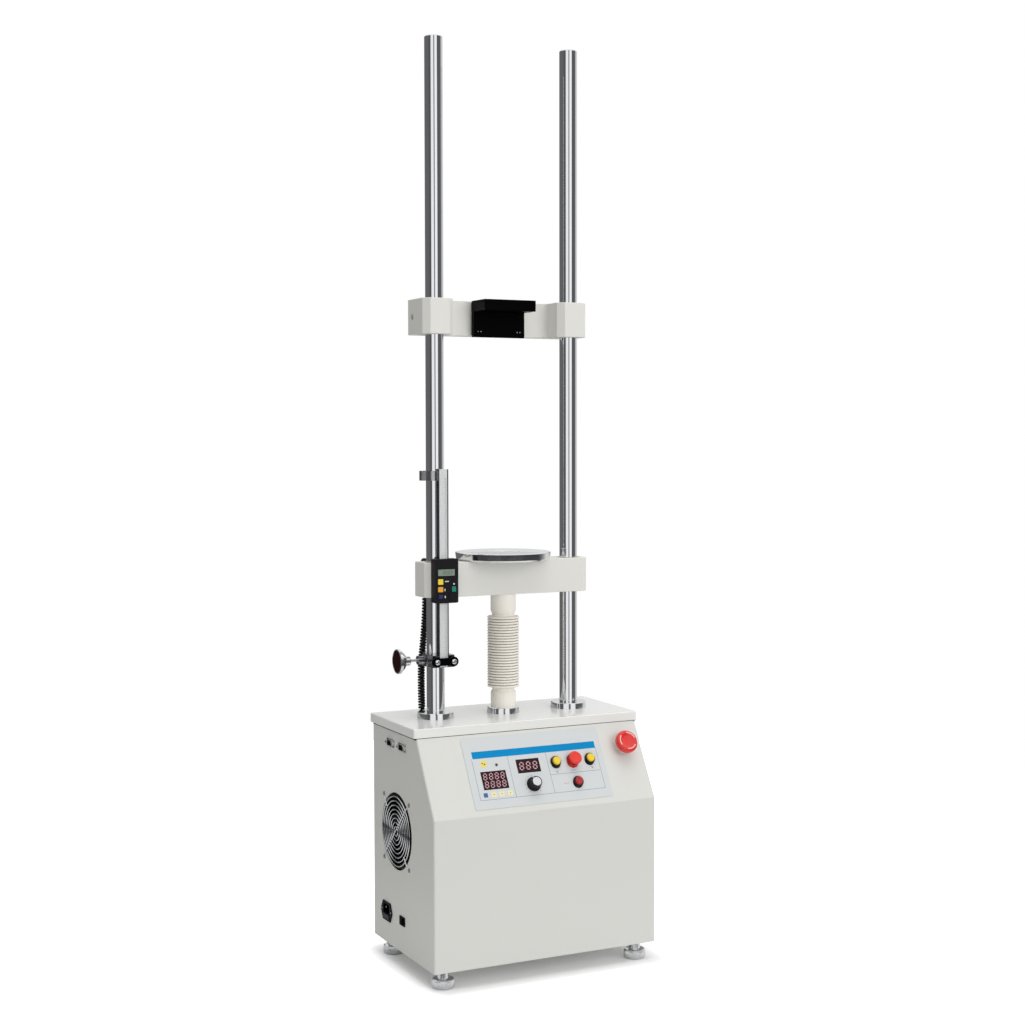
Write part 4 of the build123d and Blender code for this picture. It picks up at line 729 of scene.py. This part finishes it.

# The scale is a satin steel bar with engraved graduations, filled with black.
# A dark groove runs down its right edge for the reader of the display, and a dark sheet on its back is
# painted shade, so that the column beside it mirrors a dark side.
rail_low, rail_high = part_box("scale_rail")
rail_front = rail_low.y
rail_end_gap = 0.0005
groove_width = 0.0026
back_shade_proud = 0.00004
scale_satin = finish("scale_satin", (0.90, 0.905, 0.91), 0.34, metal=0.45, scale=500.0, stretch=(12, 1, 0.3),
                     mottle=0.03)
give(scale_satin, "scale_rail")
# This dark finish serves the groove, the filled graduations and the painted shade on the back.
fill_and_shade_dark = finish("fill_and_shade_dark", (0.05, 0.05, 0.055), 0.4, scale=900.0)
groove = bmesh.new()
add_bar(groove, (rail_high.x - groove_width, rail_front + 0.0001, rail_low.z + rail_end_gap),
        (rail_high.x - 0.0002, rail_front + 0.0007, rail_high.z - rail_end_gap))
add_piece("scale_groove", groove, fill_and_shade_dark, "frame")
back_shade = bmesh.new()
add_bar(back_shade, (rail_low.x - back_shade_proud, rail_front + 0.0006, rail_low.z + rail_end_gap),
        (rail_high.x + back_shade_proud, rail_high.y + back_shade_proud, rail_high.z - rail_end_gap))
add_piece("scale_back_shade", back_shade, fill_and_shade_dark, "frame")
tick_proud = 0.00003
tick_width = 0.00016
tick_margin = 0.012
ticks_in_metre = 1000
centimetre_tick = 0.0062
half_tick = 0.0045
millimetre_tick = 0.0028
graduations = bmesh.new()
tick_count = int((rail_high.z - rail_low.z - 2 * tick_margin) * ticks_in_metre)
right = rail_high.x - groove_width - 0.0006
for tick in range(tick_count):
    z = rail_low.z + tick_margin + tick / ticks_in_metre
    reach = centimetre_tick if tick % 10 == 0 else half_tick if tick % 5 == 0 else millimetre_tick
    add_bar(graduations, (right - reach, rail_front - tick_proud, z - tick_width / 2),
            (right, rail_front + tick_proud, z + tick_width / 2))
add_piece("scale_graduations", graduations, fill_and_shade_dark, "frame")

# Nickel-plated clamps hold the scale on the left column, and the lower one is locked by a knob.
# A black link with two domed screws presses the scale against the lug of the lower clamp.
clamp_satin = finish("clamp_satin", (0.50, 0.50, 0.51), 0.24, metal=1.0, scale=320.0, mottle=0.06,
                     unevenness=0.12, relief=0.000004)
give(clamp_satin, "rail_upper_clamp")
dark_nickel = finish("dark_nickel", (0.30, 0.30, 0.32), 0.14, metal=1.0, scale=320.0, mottle=0.08,
                     unevenness=0.12, relief=0.000004)
give(dark_nickel, "rail_lower_clamp")
give(bracket_black, "rail_link")
link_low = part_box("rail_link")[0]
screw_low, screw_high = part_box("link_screws")
link_screw_radius = (screw_high.z - screw_low.z) / 2
link_screws = bmesh.new()
for x in (screw_low.x + link_screw_radius, screw_high.x - link_screw_radius):
    turn_outline(
        link_screws,
        [
            (0.0, -0.014), (0.0025, -0.014), (0.0025, 0.0), (link_screw_radius, 0.0),
            (link_screw_radius, 0.0012), (link_screw_radius - 0.0006, 0.0022),
            (link_screw_radius - 0.0018, 0.0029), (0.0017, 0.0030), (0.0016, 0.0016), (0.0, 0.0016),
        ],
        (x, link_low.y, (screw_low.z + screw_high.z) / 2), (0, -1, 0), steps=48,
    )
add_piece("link_domed_screws", link_screws, turned_chrome, "frame", ["link_screws"])

# The clamp knob has a chromed flared body with a dark red moulded face.
# Its stem screws through the boss of the lower clamp on to the column.
knob_low, knob_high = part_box("clamp_knob")
knob_radius = (knob_high.z - knob_low.z) / 2
knob_middle = (knob_low + knob_high) / 2
knob_length = knob_high.x - knob_low.x
knob_face = (knob_low.x, knob_middle.y, knob_middle.z)
turned("clamp_knob_body",
       [
           (0.0, -knob_length + 0.0002), (0.0025, -knob_length + 0.0002), (0.0025, -0.0228),
           (0.0070, -0.0226), (0.0078, -0.0216), (0.0078, -0.0146), (0.0102, -0.0138),
           (0.0140, -0.0112), (0.0176, -0.0072), (knob_radius, -0.0050), (knob_radius, -0.0006),
           (knob_radius - 0.0010, 0.0), (knob_radius - 0.0022, 0.0), (knob_radius - 0.0024, -0.0006),
           (0.0, -0.0006),
       ],
       knob_face, turned_chrome, "clamp_knob", ["clamp_knob"], (-1, 0, 0), steps=96)
knob_red = finish("knob_red", (0.022, 0.0018, 0.0018), 0.34, scale=900.0, specular=0.05)
turned("clamp_knob_face",
       [
           (0.0, -0.0008), (knob_radius - 0.0024, -0.0008), (knob_radius - 0.0026, -0.0001),
           (0.012, 0.0), (0.0, 0.0),
       ],
       knob_face, knob_red, "clamp_knob", (), (-1, 0, 0), steps=96)

# The display of the scale is a black moulded case with a small liquid crystal window.
# It has four rubber keys and a small cover, and it slides along the scale with the crosshead.
give(moulded_black, "scale_case")
case_front = -0.0415
lcd_green = finish("lcd_green", (0.23, 0.29, 0.24), 0.2, coat=0.6, scale=300.0)
lcd_front = case_front + 0.0003
lcd = bmesh.new()
add_bar(lcd, (-0.1366, lcd_front, 0.6393), (-0.1073, case_front + 0.0007, 0.6497))
add_piece("display_glass", lcd, lcd_green, "crosshead")
key_colours = {
    "yellow": (0.85, 0.66, 0.05), "orange": (0.80, 0.36, 0.03),
    "blue": (0.02, 0.03, 0.12), "green": (0.01, 0.23, 0.16),
}
for key, colour in key_colours.items():
    give(finish(f"key_{key}", colour, 0.35, coat=0.2, scale=1200.0), f"scale_key_{key}")
legend_white = finish("legend_white", (0.72, 0.72, 0.70), 0.4, scale=1500.0)
print_thickness = 0.00006
legends = bmesh.new()
for key, right, up, half_width, half_height in (
    ("yellow", 0.0115, 0.0004, 0.0034, 0.0008), ("orange", 0.0080, -0.0010, 0.0008, 0.0018),
    ("blue", 0.0080, -0.0008, 0.0008, 0.0018), ("green", 0.0004, 0.0084, 0.0013, 0.0012),
):
    key_low, key_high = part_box(f"scale_key_{key}")
    x = (key_low.x + key_high.x) / 2 + right
    z = (key_low.z + key_high.z) / 2 + up
    add_bar(legends, (x - half_width, case_front - print_thickness, z - half_height),
            (x + half_width, case_front + print_thickness, z + half_height))
add_piece("display_legends", legends, legend_white, "crosshead")

# A seven segment digit is a set of slanted bars.
# The small window and both panel displays show the same style of digit.
segments_of_digit = {"8": "abcdefg", "0": "abcdef"}
digit_thickness = 0.00004


def add_digit(shape, digit, matrix, width, height, bar):
    """Adds one seven segment digit, lying in the plane of a matrix."""
    half_w, half_h, t = width / 2, height / 2, bar / 2
    across = (half_w - t * 1.4, t)
    upright = (t, half_h / 2 - t * 1.2)
    places = {
        "a": (0, half_h, across), "g": (0, 0, across), "d": (0, -half_h, across),
        "f": (-half_w, half_h / 2, upright), "b": (half_w, half_h / 2, upright),
        "e": (-half_w, -half_h / 2, upright), "c": (half_w, -half_h / 2, upright),
    }
    lean = 0.12
    for segment in segments_of_digit[digit]:
        x, y, (dx, dy) = places[segment]
        x += lean * y
        add_bar(shape, (x - dx, y - dy, 0), (x + dx, y + dy, digit_thickness), matrix)


facing = Matrix(((1, 0, 0, 0), (0, 0, -1, 0), (0, 1, 0, 0), (0, 0, 0, 1)))
lcd_ink = finish("lcd_ink", (0.03, 0.035, 0.03), 0.3, scale=900.0)
first_digit_x = -0.1265
lcd_digit_step = 0.0046
lcd_middle_z = 0.6445
lcd_digits = bmesh.new()
for place, digit in enumerate("0000"):
    spot = Matrix.Translation((first_digit_x + place * lcd_digit_step, lcd_front, lcd_middle_z)) @ facing
    add_digit(lcd_digits, digit, spot, 0.0024, 0.0052, 0.0006)
add_piece("display_digits", lcd_digits, lcd_ink, "crosshead")

# The control panel is a printed film on the slope of the housing.
# Its blue band and its thin frames are printed, and its windows are tinted dark red.
slope_foot_z = 0.2695
slope_top = Vector((0, slope_top_y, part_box("housing_shell")[1].z))
slope_foot = Vector((0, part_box("housing_shell")[0].y, slope_foot_z))
down_slope = (slope_foot - slope_top).normalized()
film_thickness = 0.0008


def on_panel(x, s, height=0.0):
    """Place on the slope: x to the right and s down from its top edge, facing outwards."""
    outwards = Vector((1, 0, 0)).cross(-down_slope)
    turn_to_slope = Matrix((Vector((1, 0, 0)), -down_slope, outwards)).transposed().to_4x4()
    spot = slope_top + Vector((x, 0, 0)) + down_slope * s + outwards * height
    return Matrix.Translation(spot) @ turn_to_slope


def add_print(shape, x, s, half_width, half_height):
    """Adds a printed bar with its middle at a place on the film."""
    add_bar(shape, (-half_width, -half_height, 0), (half_width, half_height, print_thickness),
            on_panel(x, s, film_thickness))


panel_out = (on_panel(0, 0).to_3x3() @ Vector((0, 0, 1))).normalized()
film_grey = finish("film_grey", (0.635, 0.66, 0.665), 0.33, scale=1500.0, mottle=0.01, relief=0.00001)
give(film_grey, "panel_film")
band_blue = finish("band_blue", (0.0, 0.25, 0.55), 0.45, scale=1500.0, mottle=0.02, specular=0.15)
band = bmesh.new()
add_bar(band, (-0.111, -0.0059, 0), (0.112, 0.0059, print_thickness), on_panel(0, 0.0369, film_thickness))
add_piece("panel_band", band, band_blue, "frame")
print_grey = finish("print_grey", (0.24, 0.29, 0.37), 0.4, scale=1500.0)
frames = bmesh.new()
half_line = 0.00035
frame_thickness = 0.00005
cell_lines = [
    (-0.1130, 0.043, -0.1130, 0.112), (-0.0500, 0.043, -0.0500, 0.112), (0.0190, 0.043, 0.0190, 0.112),
    (0.1120, 0.043, 0.1120, 0.112), (-0.1130, 0.112, 0.1120, 0.112), (0.0196, 0.081, 0.110, 0.081),
]
for x0, s0, x1, s1 in cell_lines:
    add_bar(frames, (x0 - half_line, -s1 - half_line, 0),
            (x1 + half_line, -s0 + half_line, frame_thickness), on_panel(0, 0, film_thickness))
add_piece("panel_frames", frames, print_grey, "frame")

window_dark = finish("window_dark", (0.014, 0.003, 0.005), 0.16, scale=600.0, specular=0.25)
give(window_dark, "display_windows")
digit_pink = finish("digit_pink", (0.72, 0.38, 0.42), 0.35, scale=900.0)
digits = bmesh.new()
window_top = film_thickness + 0.0002
# Each row of digits: middle, distance between digits, how many, and width, height and bar of a digit
for middle_x, s, step, count, width, height, bar in (
    (-0.0810, 0.0739, 0.0102, 4, 0.0054, 0.0100, 0.0013),
    (-0.0810, 0.0871, 0.0102, 4, 0.0054, 0.0100, 0.0013),
    (-0.0165, 0.0620, 0.0120, 3, 0.0062, 0.0120, 0.0016),
):
    for place in range(count):
        x = middle_x + (place - (count - 1) / 2) * step
        add_digit(digits, "8", on_panel(x, s, window_top), width, height, bar)
add_piece("panel_digits", digits, digit_pink, "frame")

# Under the film lie flat keys and a small lamp, which show only as printed patches.
# A round one, a blue one and three pale yellow ones belong to the counter of the machine.
# Ticks round the knob, arrows and two small bars beside the buttons are printed as well.
patch_yellow = finish("patch_yellow", (0.86, 0.77, 0.42), 0.35, scale=1500.0)
round_yellow = finish("round_yellow", (0.82, 0.68, 0.17), 0.35, scale=1500.0)
patch_blue = finish("patch_blue", (0.05, 0.12, 0.33), 0.35, scale=1500.0)
patch_ink = finish("patch_ink", (0.03, 0.03, 0.035), 0.35, scale=1500.0)


def add_disc(shape, matrix, radius, thickness=print_thickness, sides=48):
    """Adds a thin flat patch, round or with a few sides."""
    made = bmesh.ops.create_cone(shape, cap_ends=True, segments=sides, radius1=radius, radius2=radius,
                                 depth=thickness)["verts"]
    bmesh.ops.transform(shape, matrix=matrix @ Matrix.Translation((0, 0, thickness / 2)), verts=made)


yellow_key_places = (-0.0879, -0.0740, -0.0588)
flat_key_row = 0.1041
yellow_patches = bmesh.new()
for x in yellow_key_places:
    add_print(yellow_patches, x, flat_key_row, 0.0042, 0.0040)
add_piece("panel_yellow_keys", yellow_patches, patch_yellow, "frame")
round_key = bmesh.new()
add_disc(round_key, on_panel(-0.094, 0.0523, film_thickness), 0.0062)
add_piece("panel_round_key", round_key, round_yellow, "frame")
blue_patch = bmesh.new()
add_print(blue_patch, -0.1024, flat_key_row, 0.0036, 0.0036)
add_piece("panel_blue_key", blue_patch, patch_blue, "frame")
lamp_thickness = 0.0006
key_dots = [(x, flat_key_row, 0.0008) for x in yellow_key_places]
dark_patches = bmesh.new()
add_disc(dark_patches, on_panel(-0.072, 0.0557, film_thickness), 0.0022, lamp_thickness)
for x, s, radius in key_dots + [(-0.0962, 0.0512, 0.0011), (-0.0925, 0.0530, 0.0013)]:
    add_disc(dark_patches, on_panel(x, s, film_thickness + print_thickness), radius)
add_piece("panel_dark_dots", dark_patches, patch_ink, "frame")
dial_place = (-0.015, 0.094)
first_tick = -140
tick_step = 28
dial_ticks = bmesh.new()
for tick in range(11):
    turn_by = radians(first_tick + tick * tick_step)
    spot = on_panel(*dial_place, film_thickness) @ Matrix.Rotation(-turn_by, 4, "Z")
    add_bar(dial_ticks, (-0.00022, 0.0138, 0), (0.00022, 0.0158, 0.00005), spot)
add_piece("dial_ticks", dial_ticks, patch_ink, "frame")
arrow_marks = bmesh.new()
for x, s, turn_by in ((0.0318, 0.0768, radians(45)), (0.0978, 0.0758, radians(-135))):
    spot = on_panel(x, s, film_thickness) @ Matrix.Rotation(turn_by, 4, "Z")
    add_disc(arrow_marks, spot, 0.0019, sides=3)
    add_bar(arrow_marks, (-0.0004, -0.0034, 0), (0.0004, 0.0, print_thickness), spot)
add_piece("panel_arrows", arrow_marks, print_grey, "frame")
mark_cyan = finish("mark_cyan", (0.30, 0.58, 0.72), 0.4, scale=1500.0)
stop_mark = bmesh.new()
add_print(stop_mark, 0.063, 0.0768, 0.0045, 0.0008)
add_piece("panel_stop_mark", stop_mark, mark_cyan, "frame")
mark_red = finish("mark_red", (0.72, 0.28, 0.28), 0.4, scale=1500.0)
power_mark = bmesh.new()
add_print(power_mark, 0.0436, 0.0978, 0.0050, 0.0005)
add_piece("panel_power_mark", power_mark, mark_red, "frame")

# Each push button is a coloured moulded cap in a black collar that is nutted through the panel.
# The stop button is larger and has a red collar of its own.
collar_black = finish("collar_black", (0.007, 0.007, 0.008), 0.34, scale=1200.0, specular=0.25)
cap_yellow = finish("cap_yellow", (0.86, 0.62, 0.02), 0.28, coat=0.4, scale=1200.0)
cap_red = finish("cap_red", (0.78, 0.030, 0.012), 0.28, coat=0.4, scale=1200.0)
cap_dark_red = finish("cap_dark_red", (0.40, 0.008, 0.012), 0.28, coat=0.4, scale=1200.0)
stop_collar_red = finish("stop_collar_red", (0.50, 0.012, 0.010), 0.3, coat=0.3, scale=1200.0)
# Each button: place on the slope, radius of cap and collar, their colours, and the slot of the cap
button_places = {
    "up_button": (0.0335, 0.0600, 0.0068, 0.0092, cap_yellow, collar_black, "yellow_plastic"),
    "stop_button": (0.0650, 0.0600, 0.0088, 0.0110, cap_red, stop_collar_red, "red_plastic"),
    "down_button": (0.0965, 0.0600, 0.0068, 0.0092, cap_yellow, collar_black, "yellow_plastic"),
    "power_button": (0.0650, 0.0970, 0.0068, 0.0092, cap_dark_red, collar_black, "red_plastic"),
}
collar_height = 0.004
cap_proud = 0.0035
mushroom_radius = 0.0110
mushroom_low = 0.0092
mushroom_top = 0.0138
barrel_depth = 0.016
stem_depth = 0.0165
collar_play = 0.0003
barrel_wall = 0.0014
give(collar_black, "button_collars")
for button, (x, s, cap, ring, colour, collar_colour, slot) in button_places.items():
    spot = on_panel(x, s, film_thickness)
    bore = cap + collar_play
    turned(f"{button}_collar",
           [
               (bore, -barrel_depth), (bore + barrel_wall, -barrel_depth), (bore + barrel_wall, 0.0),
               (ring, 0.0), (ring, collar_height * 0.45), (ring - 0.0007, collar_height),
               (bore, collar_height),
           ],
           spot.translation, collar_colour, "frame", ["button_collars"], panel_out,
           steps=64, rounding=0.0003, closed=True)
    top = collar_height + cap_proud
    cap_outline = [(0.0, -stem_depth), (0.0024, -stem_depth), (0.0024, -0.006), (cap, -0.006)]
    if button == "stop_button":
        cap_outline += [
            (cap, mushroom_low), (mushroom_radius - 0.0006, mushroom_low),
            (mushroom_radius, mushroom_low + 0.0008), (mushroom_radius, mushroom_top - 0.0016),
            (mushroom_radius - 0.0006, mushroom_top - 0.0006), (mushroom_radius - 0.0018, mushroom_top),
            (0.0050, mushroom_top - 0.0004), (0.0, mushroom_top - 0.0006),
        ]
    else:
        cap_outline += [
            (cap, top - 0.0016), (cap - 0.0005, top - 0.0006), (cap - 0.0016, top),
            (cap * 0.5, top - 0.0003), (0.0, top - 0.0005),
        ]
    turned(f"{button}_cap", cap_outline, spot.translation, colour, button, [button], panel_out,
           steps=64)

# The speed knob is black with a fluted skirt and a bright cap, and a white line shows its place.
# It turns a small shaft that goes through the panel.
dial_spot = on_panel(*dial_place, film_thickness + 0.0003)
dial_radius = 0.012
dial_top_radius = 0.0093
dial_height = 0.014
flutes = 12
flute_depth = 0.05
flutes_low = 0.0036
dial = bmesh.new()
turn_outline(
    dial,
    [
        (0.0, -0.0115), (0.0029, -0.0115), (0.0029, 0.0), (dial_radius, 0.0), (dial_radius, 0.0014),
        (dial_radius - 0.0012, 0.0030), (dial_top_radius + 0.0008, 0.0038),
        (dial_top_radius, dial_height - 0.0008), (dial_top_radius - 0.0007, dial_height),
        (0.0078, dial_height), (0.0076, dial_height - 0.0003), (0.0, dial_height - 0.0003),
    ],
    (0, 0, 0), steps=10 * flutes,
)
for vertex in dial.verts:
    away = hypot(vertex.co.x, vertex.co.y)
    if away > dial_top_radius - 0.0003 and flutes_low < vertex.co.z < dial_height - 0.0004:
        wave = 1 - flute_depth * (1 + cos(flutes * atan2(vertex.co.y, vertex.co.x)))
        vertex.co.x *= wave
        vertex.co.y *= wave
bmesh.ops.transform(dial, matrix=dial_spot, verts=dial.verts)
add_piece("speed_knob_body", dial, collar_black, "speed_knob", ["speed_knob"])
cap_bright = finish("cap_bright", (0.80, 0.81, 0.82), 0.2, metal=1.0, scale=300.0)
turned("speed_knob_cap",
       [(0.0, -0.0004), (0.0075, -0.0004), (0.0075, 0.0), (0.0070, 0.0004), (0.0, 0.0004)],
       dial_spot @ Vector((0, 0, dial_height)), cap_bright, "speed_knob", (), panel_out, steps=64)
pointer_turn = radians(40)
pointer = bmesh.new()
add_bar(pointer, (-0.0005, 0.0076, dial_height - 0.0002), (0.0005, 0.0090, dial_height + 0.0002),
        dial_spot @ Matrix.Rotation(pointer_turn, 4, "Z"))
pointer_white = finish("pointer_white", (0.8, 0.8, 0.8), 0.4, scale=900.0)
add_piece("speed_knob_pointer", pointer, pointer_white, "speed_knob")

# The emergency stop is a red mushroom head that latches when it is pushed and lets go when turned.
# Pale arcs on the ridge of its dished top stand for arrows that show the way to turn it, and are also a
# painted highlight along the rim.
estop_spot = on_panel(0.164, 0.0425)
estop_lift = 0.010
estop_red = finish("estop_red", (0.72, 0.022, 0.016), 0.24, coat=0.5, scale=1200.0, mottle=0.02)
turned("estop_mushroom",
       [
           (0.0061, estop_lift), (0.0164, estop_lift), (0.0182, estop_lift + 0.0010),
           (0.0191, estop_lift + 0.0028), (0.0193, estop_lift + 0.0060), (0.0190, estop_lift + 0.0084),
           (0.0178, estop_lift + 0.0104), (0.0160, estop_lift + 0.0117), (0.0142, estop_lift + 0.0120),
           (0.0126, estop_lift + 0.0117), (0.0110, estop_lift + 0.0106), (0.0086, estop_lift + 0.0101),
           (0.0, estop_lift + 0.0103),
       ],
       estop_spot.translation, estop_red, "estop_head", ["estop_head"], panel_out, steps=96)
# The pale arcs are partly a painted highlight: the bright ring on the rim of the top.
arrow_and_highlight_pale = finish("arrow_and_highlight_pale", (0.90, 0.55, 0.50), 0.35, scale=1200.0)
arc_parts = 10
arc_starts = 20
arc_step = 7
arrow_highlight_arcs = bmesh.new()
for turn_start in (0, 120, 240):
    for step in range(arc_parts):
        turn_by = radians(turn_start + arc_starts + step * arc_step)
        spot = estop_spot @ Matrix.Rotation(turn_by, 4, "Z")
        add_bar(arrow_highlight_arcs, (0.0131, -0.0009, estop_lift + 0.0117), (0.0148, 0.0009, estop_lift + 0.01202), spot)
add_piece("estop_arrow_highlights", arrow_highlight_arcs, arrow_and_highlight_pale, "estop_head")
# The body ring is pale, and its pink tint is painted light: the glow of the red head on it.
pale_ring_red_glow = finish("pale_ring_red_glow", (0.74, 0.62, 0.58), 0.4, scale=1200.0)
give(pale_ring_red_glow, "estop_body")
give(collar_black, "estop_plunger")

# A wire guard lies over the round opening in the left wall, and an axial fan sits behind it.
# Its rings, one long spoke and two short legs are chromed wire, and the fan is moulded in black.
left_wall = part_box("housing_shell")[0].x
fan_middle = Vector((left_wall, -0.012, 0.2234))
wire_radius = 0.0011
ring_pitch = 0.007
ring_start = 0.0075
ring_count = 8
give(moulded_black, "fan_frame", "fan_rotor")
wire_chrome = finish("wire_chrome", (0.78, 0.79, 0.80), 0.16, metal=1.0, scale=900.0)
guard = bmesh.new()
wire_steps = 10
for ring in range(ring_count):
    radius = ring_start + ring * ring_pitch
    outline = [
        (radius + wire_radius * cos(tau * k / wire_steps), wire_radius * sin(tau * k / wire_steps))
        for k in range(wire_steps)
    ]
    turn_outline(guard, outline, fan_middle - Vector((wire_radius, 0, 0)), (-1, 0, 0), closed=True)
spoke_reach = 0.066
short_leg = 0.017
for turn_by, length, middle in (
    (radians(45), 2 * spoke_reach, 0.0),
    (radians(-45), short_leg, spoke_reach - short_leg / 2),
    (radians(-45), short_leg, short_leg / 2 - spoke_reach),
):
    made = bmesh.ops.create_cone(guard, cap_ends=True, segments=wire_steps, radius1=wire_radius,
                                 radius2=wire_radius, depth=length)["verts"]
    bmesh.ops.translate(guard, vec=(0, 0, middle), verts=made)
    bmesh.ops.rotate(guard, cent=(0, 0, 0), matrix=Matrix.Rotation(turn_by, 3, "X"), verts=made)
    bmesh.ops.translate(guard, vec=fan_middle - Vector((2 * wire_radius, 0, 0)), verts=made)
add_piece("fan_wire_guard", guard, wire_chrome, "frame", ["fan_guard"])
wall_screws = bmesh.new()
screw_offset = 0.0525
for y in (-screw_offset, screw_offset):
    for z in (-screw_offset, screw_offset):
        turn_outline(
            wall_screws,
            [
                (0.0, 0.0), (0.0036, 0.0), (0.0036, 0.0006),
                (0.0028, 0.0014), (0.0012, 0.0018), (0.0, 0.0018),
            ],
            fan_middle + Vector((0, y, z)), (-1, 0, 0), steps=32,
        )
dull_zinc = finish("dull_zinc", (0.24, 0.24, 0.22), 0.45, scale=1200.0, specular=0.3)
add_piece("fan_wall_screws", wall_screws, dull_zinc, "frame")

# The mains inlet with its fuse drawer and the rocker switch are black moulded parts in the wall.
# The data sockets beside the top have bright shells round black inserts.
inlet_black = finish("inlet_black", (0.003, 0.003, 0.003), 0.42, scale=1400.0, relief=0.00003,
                     specular=0.05)
drawer_black = finish("drawer_black", (0.030, 0.030, 0.030), 0.45, scale=1400.0, relief=0.00003,
                      specular=0.2)
give(inlet_black, "power_inlet", "rocker_frame", "rocker")
give(drawer_black, "fuse_drawer")
socket_bright = finish("socket_bright", (0.66, 0.67, 0.66), 0.3, metal=1.0, scale=900.0)
give(socket_bright, "data_sockets")
inserts = bmesh.new()
data_socket_z = 0.365
insert_half_width = 0.0076
insert_half_height = 0.0036
for y in (0.0110, -0.0380):
    add_bar(inserts, (left_wall - 0.0038, y - insert_half_width, data_socket_z - insert_half_height),
            (left_wall - 0.0026, y + insert_half_width, data_socket_z + insert_half_height))
add_piece("socket_inserts", inserts, inlet_black, "frame")
inlet_screws = bmesh.new()
inlet_screw_z = 0.0830
for y in (0.0118, 0.0492):
    turn_outline(
        inlet_screws,
        [(0.0, -0.0004), (0.0016, -0.0004), (0.0015, 0.0), (0.0009, 0.0003), (0.0, 0.0004)],
        (left_wall - 0.0018, y, inlet_screw_z), (-1, 0, 0), steps=24,
    )
add_bar(inlet_screws, (left_wall - 0.0022, 0.0295, 0.0876), (left_wall - 0.0004, 0.0310, 0.0904))
add_piece("inlet_bright_parts", inlet_screws, screw_steel, "frame")

# The drive inside the housing is seen only through the vents and the fan.
# A toothed belt turns the nut of the lead screw from a geared motor on its bracket.
# The pulleys and the finned case of the drive unit, which stands on the floor, are cast alloy.
drive_black = finish("drive_black", (0.03, 0.03, 0.032), 0.5, scale=900.0)
give(drive_black, "motor")
belt_black = finish("belt_black", (0.015, 0.015, 0.015), 0.7, scale=1200.0)
give(belt_black, "belt")
cast_alloy = finish("cast_alloy", (0.62, 0.63, 0.64), 0.38, metal=1.0, scale=500.0)
give(cast_alloy, "drive_unit", "nut_pulley", "motor_pulley")
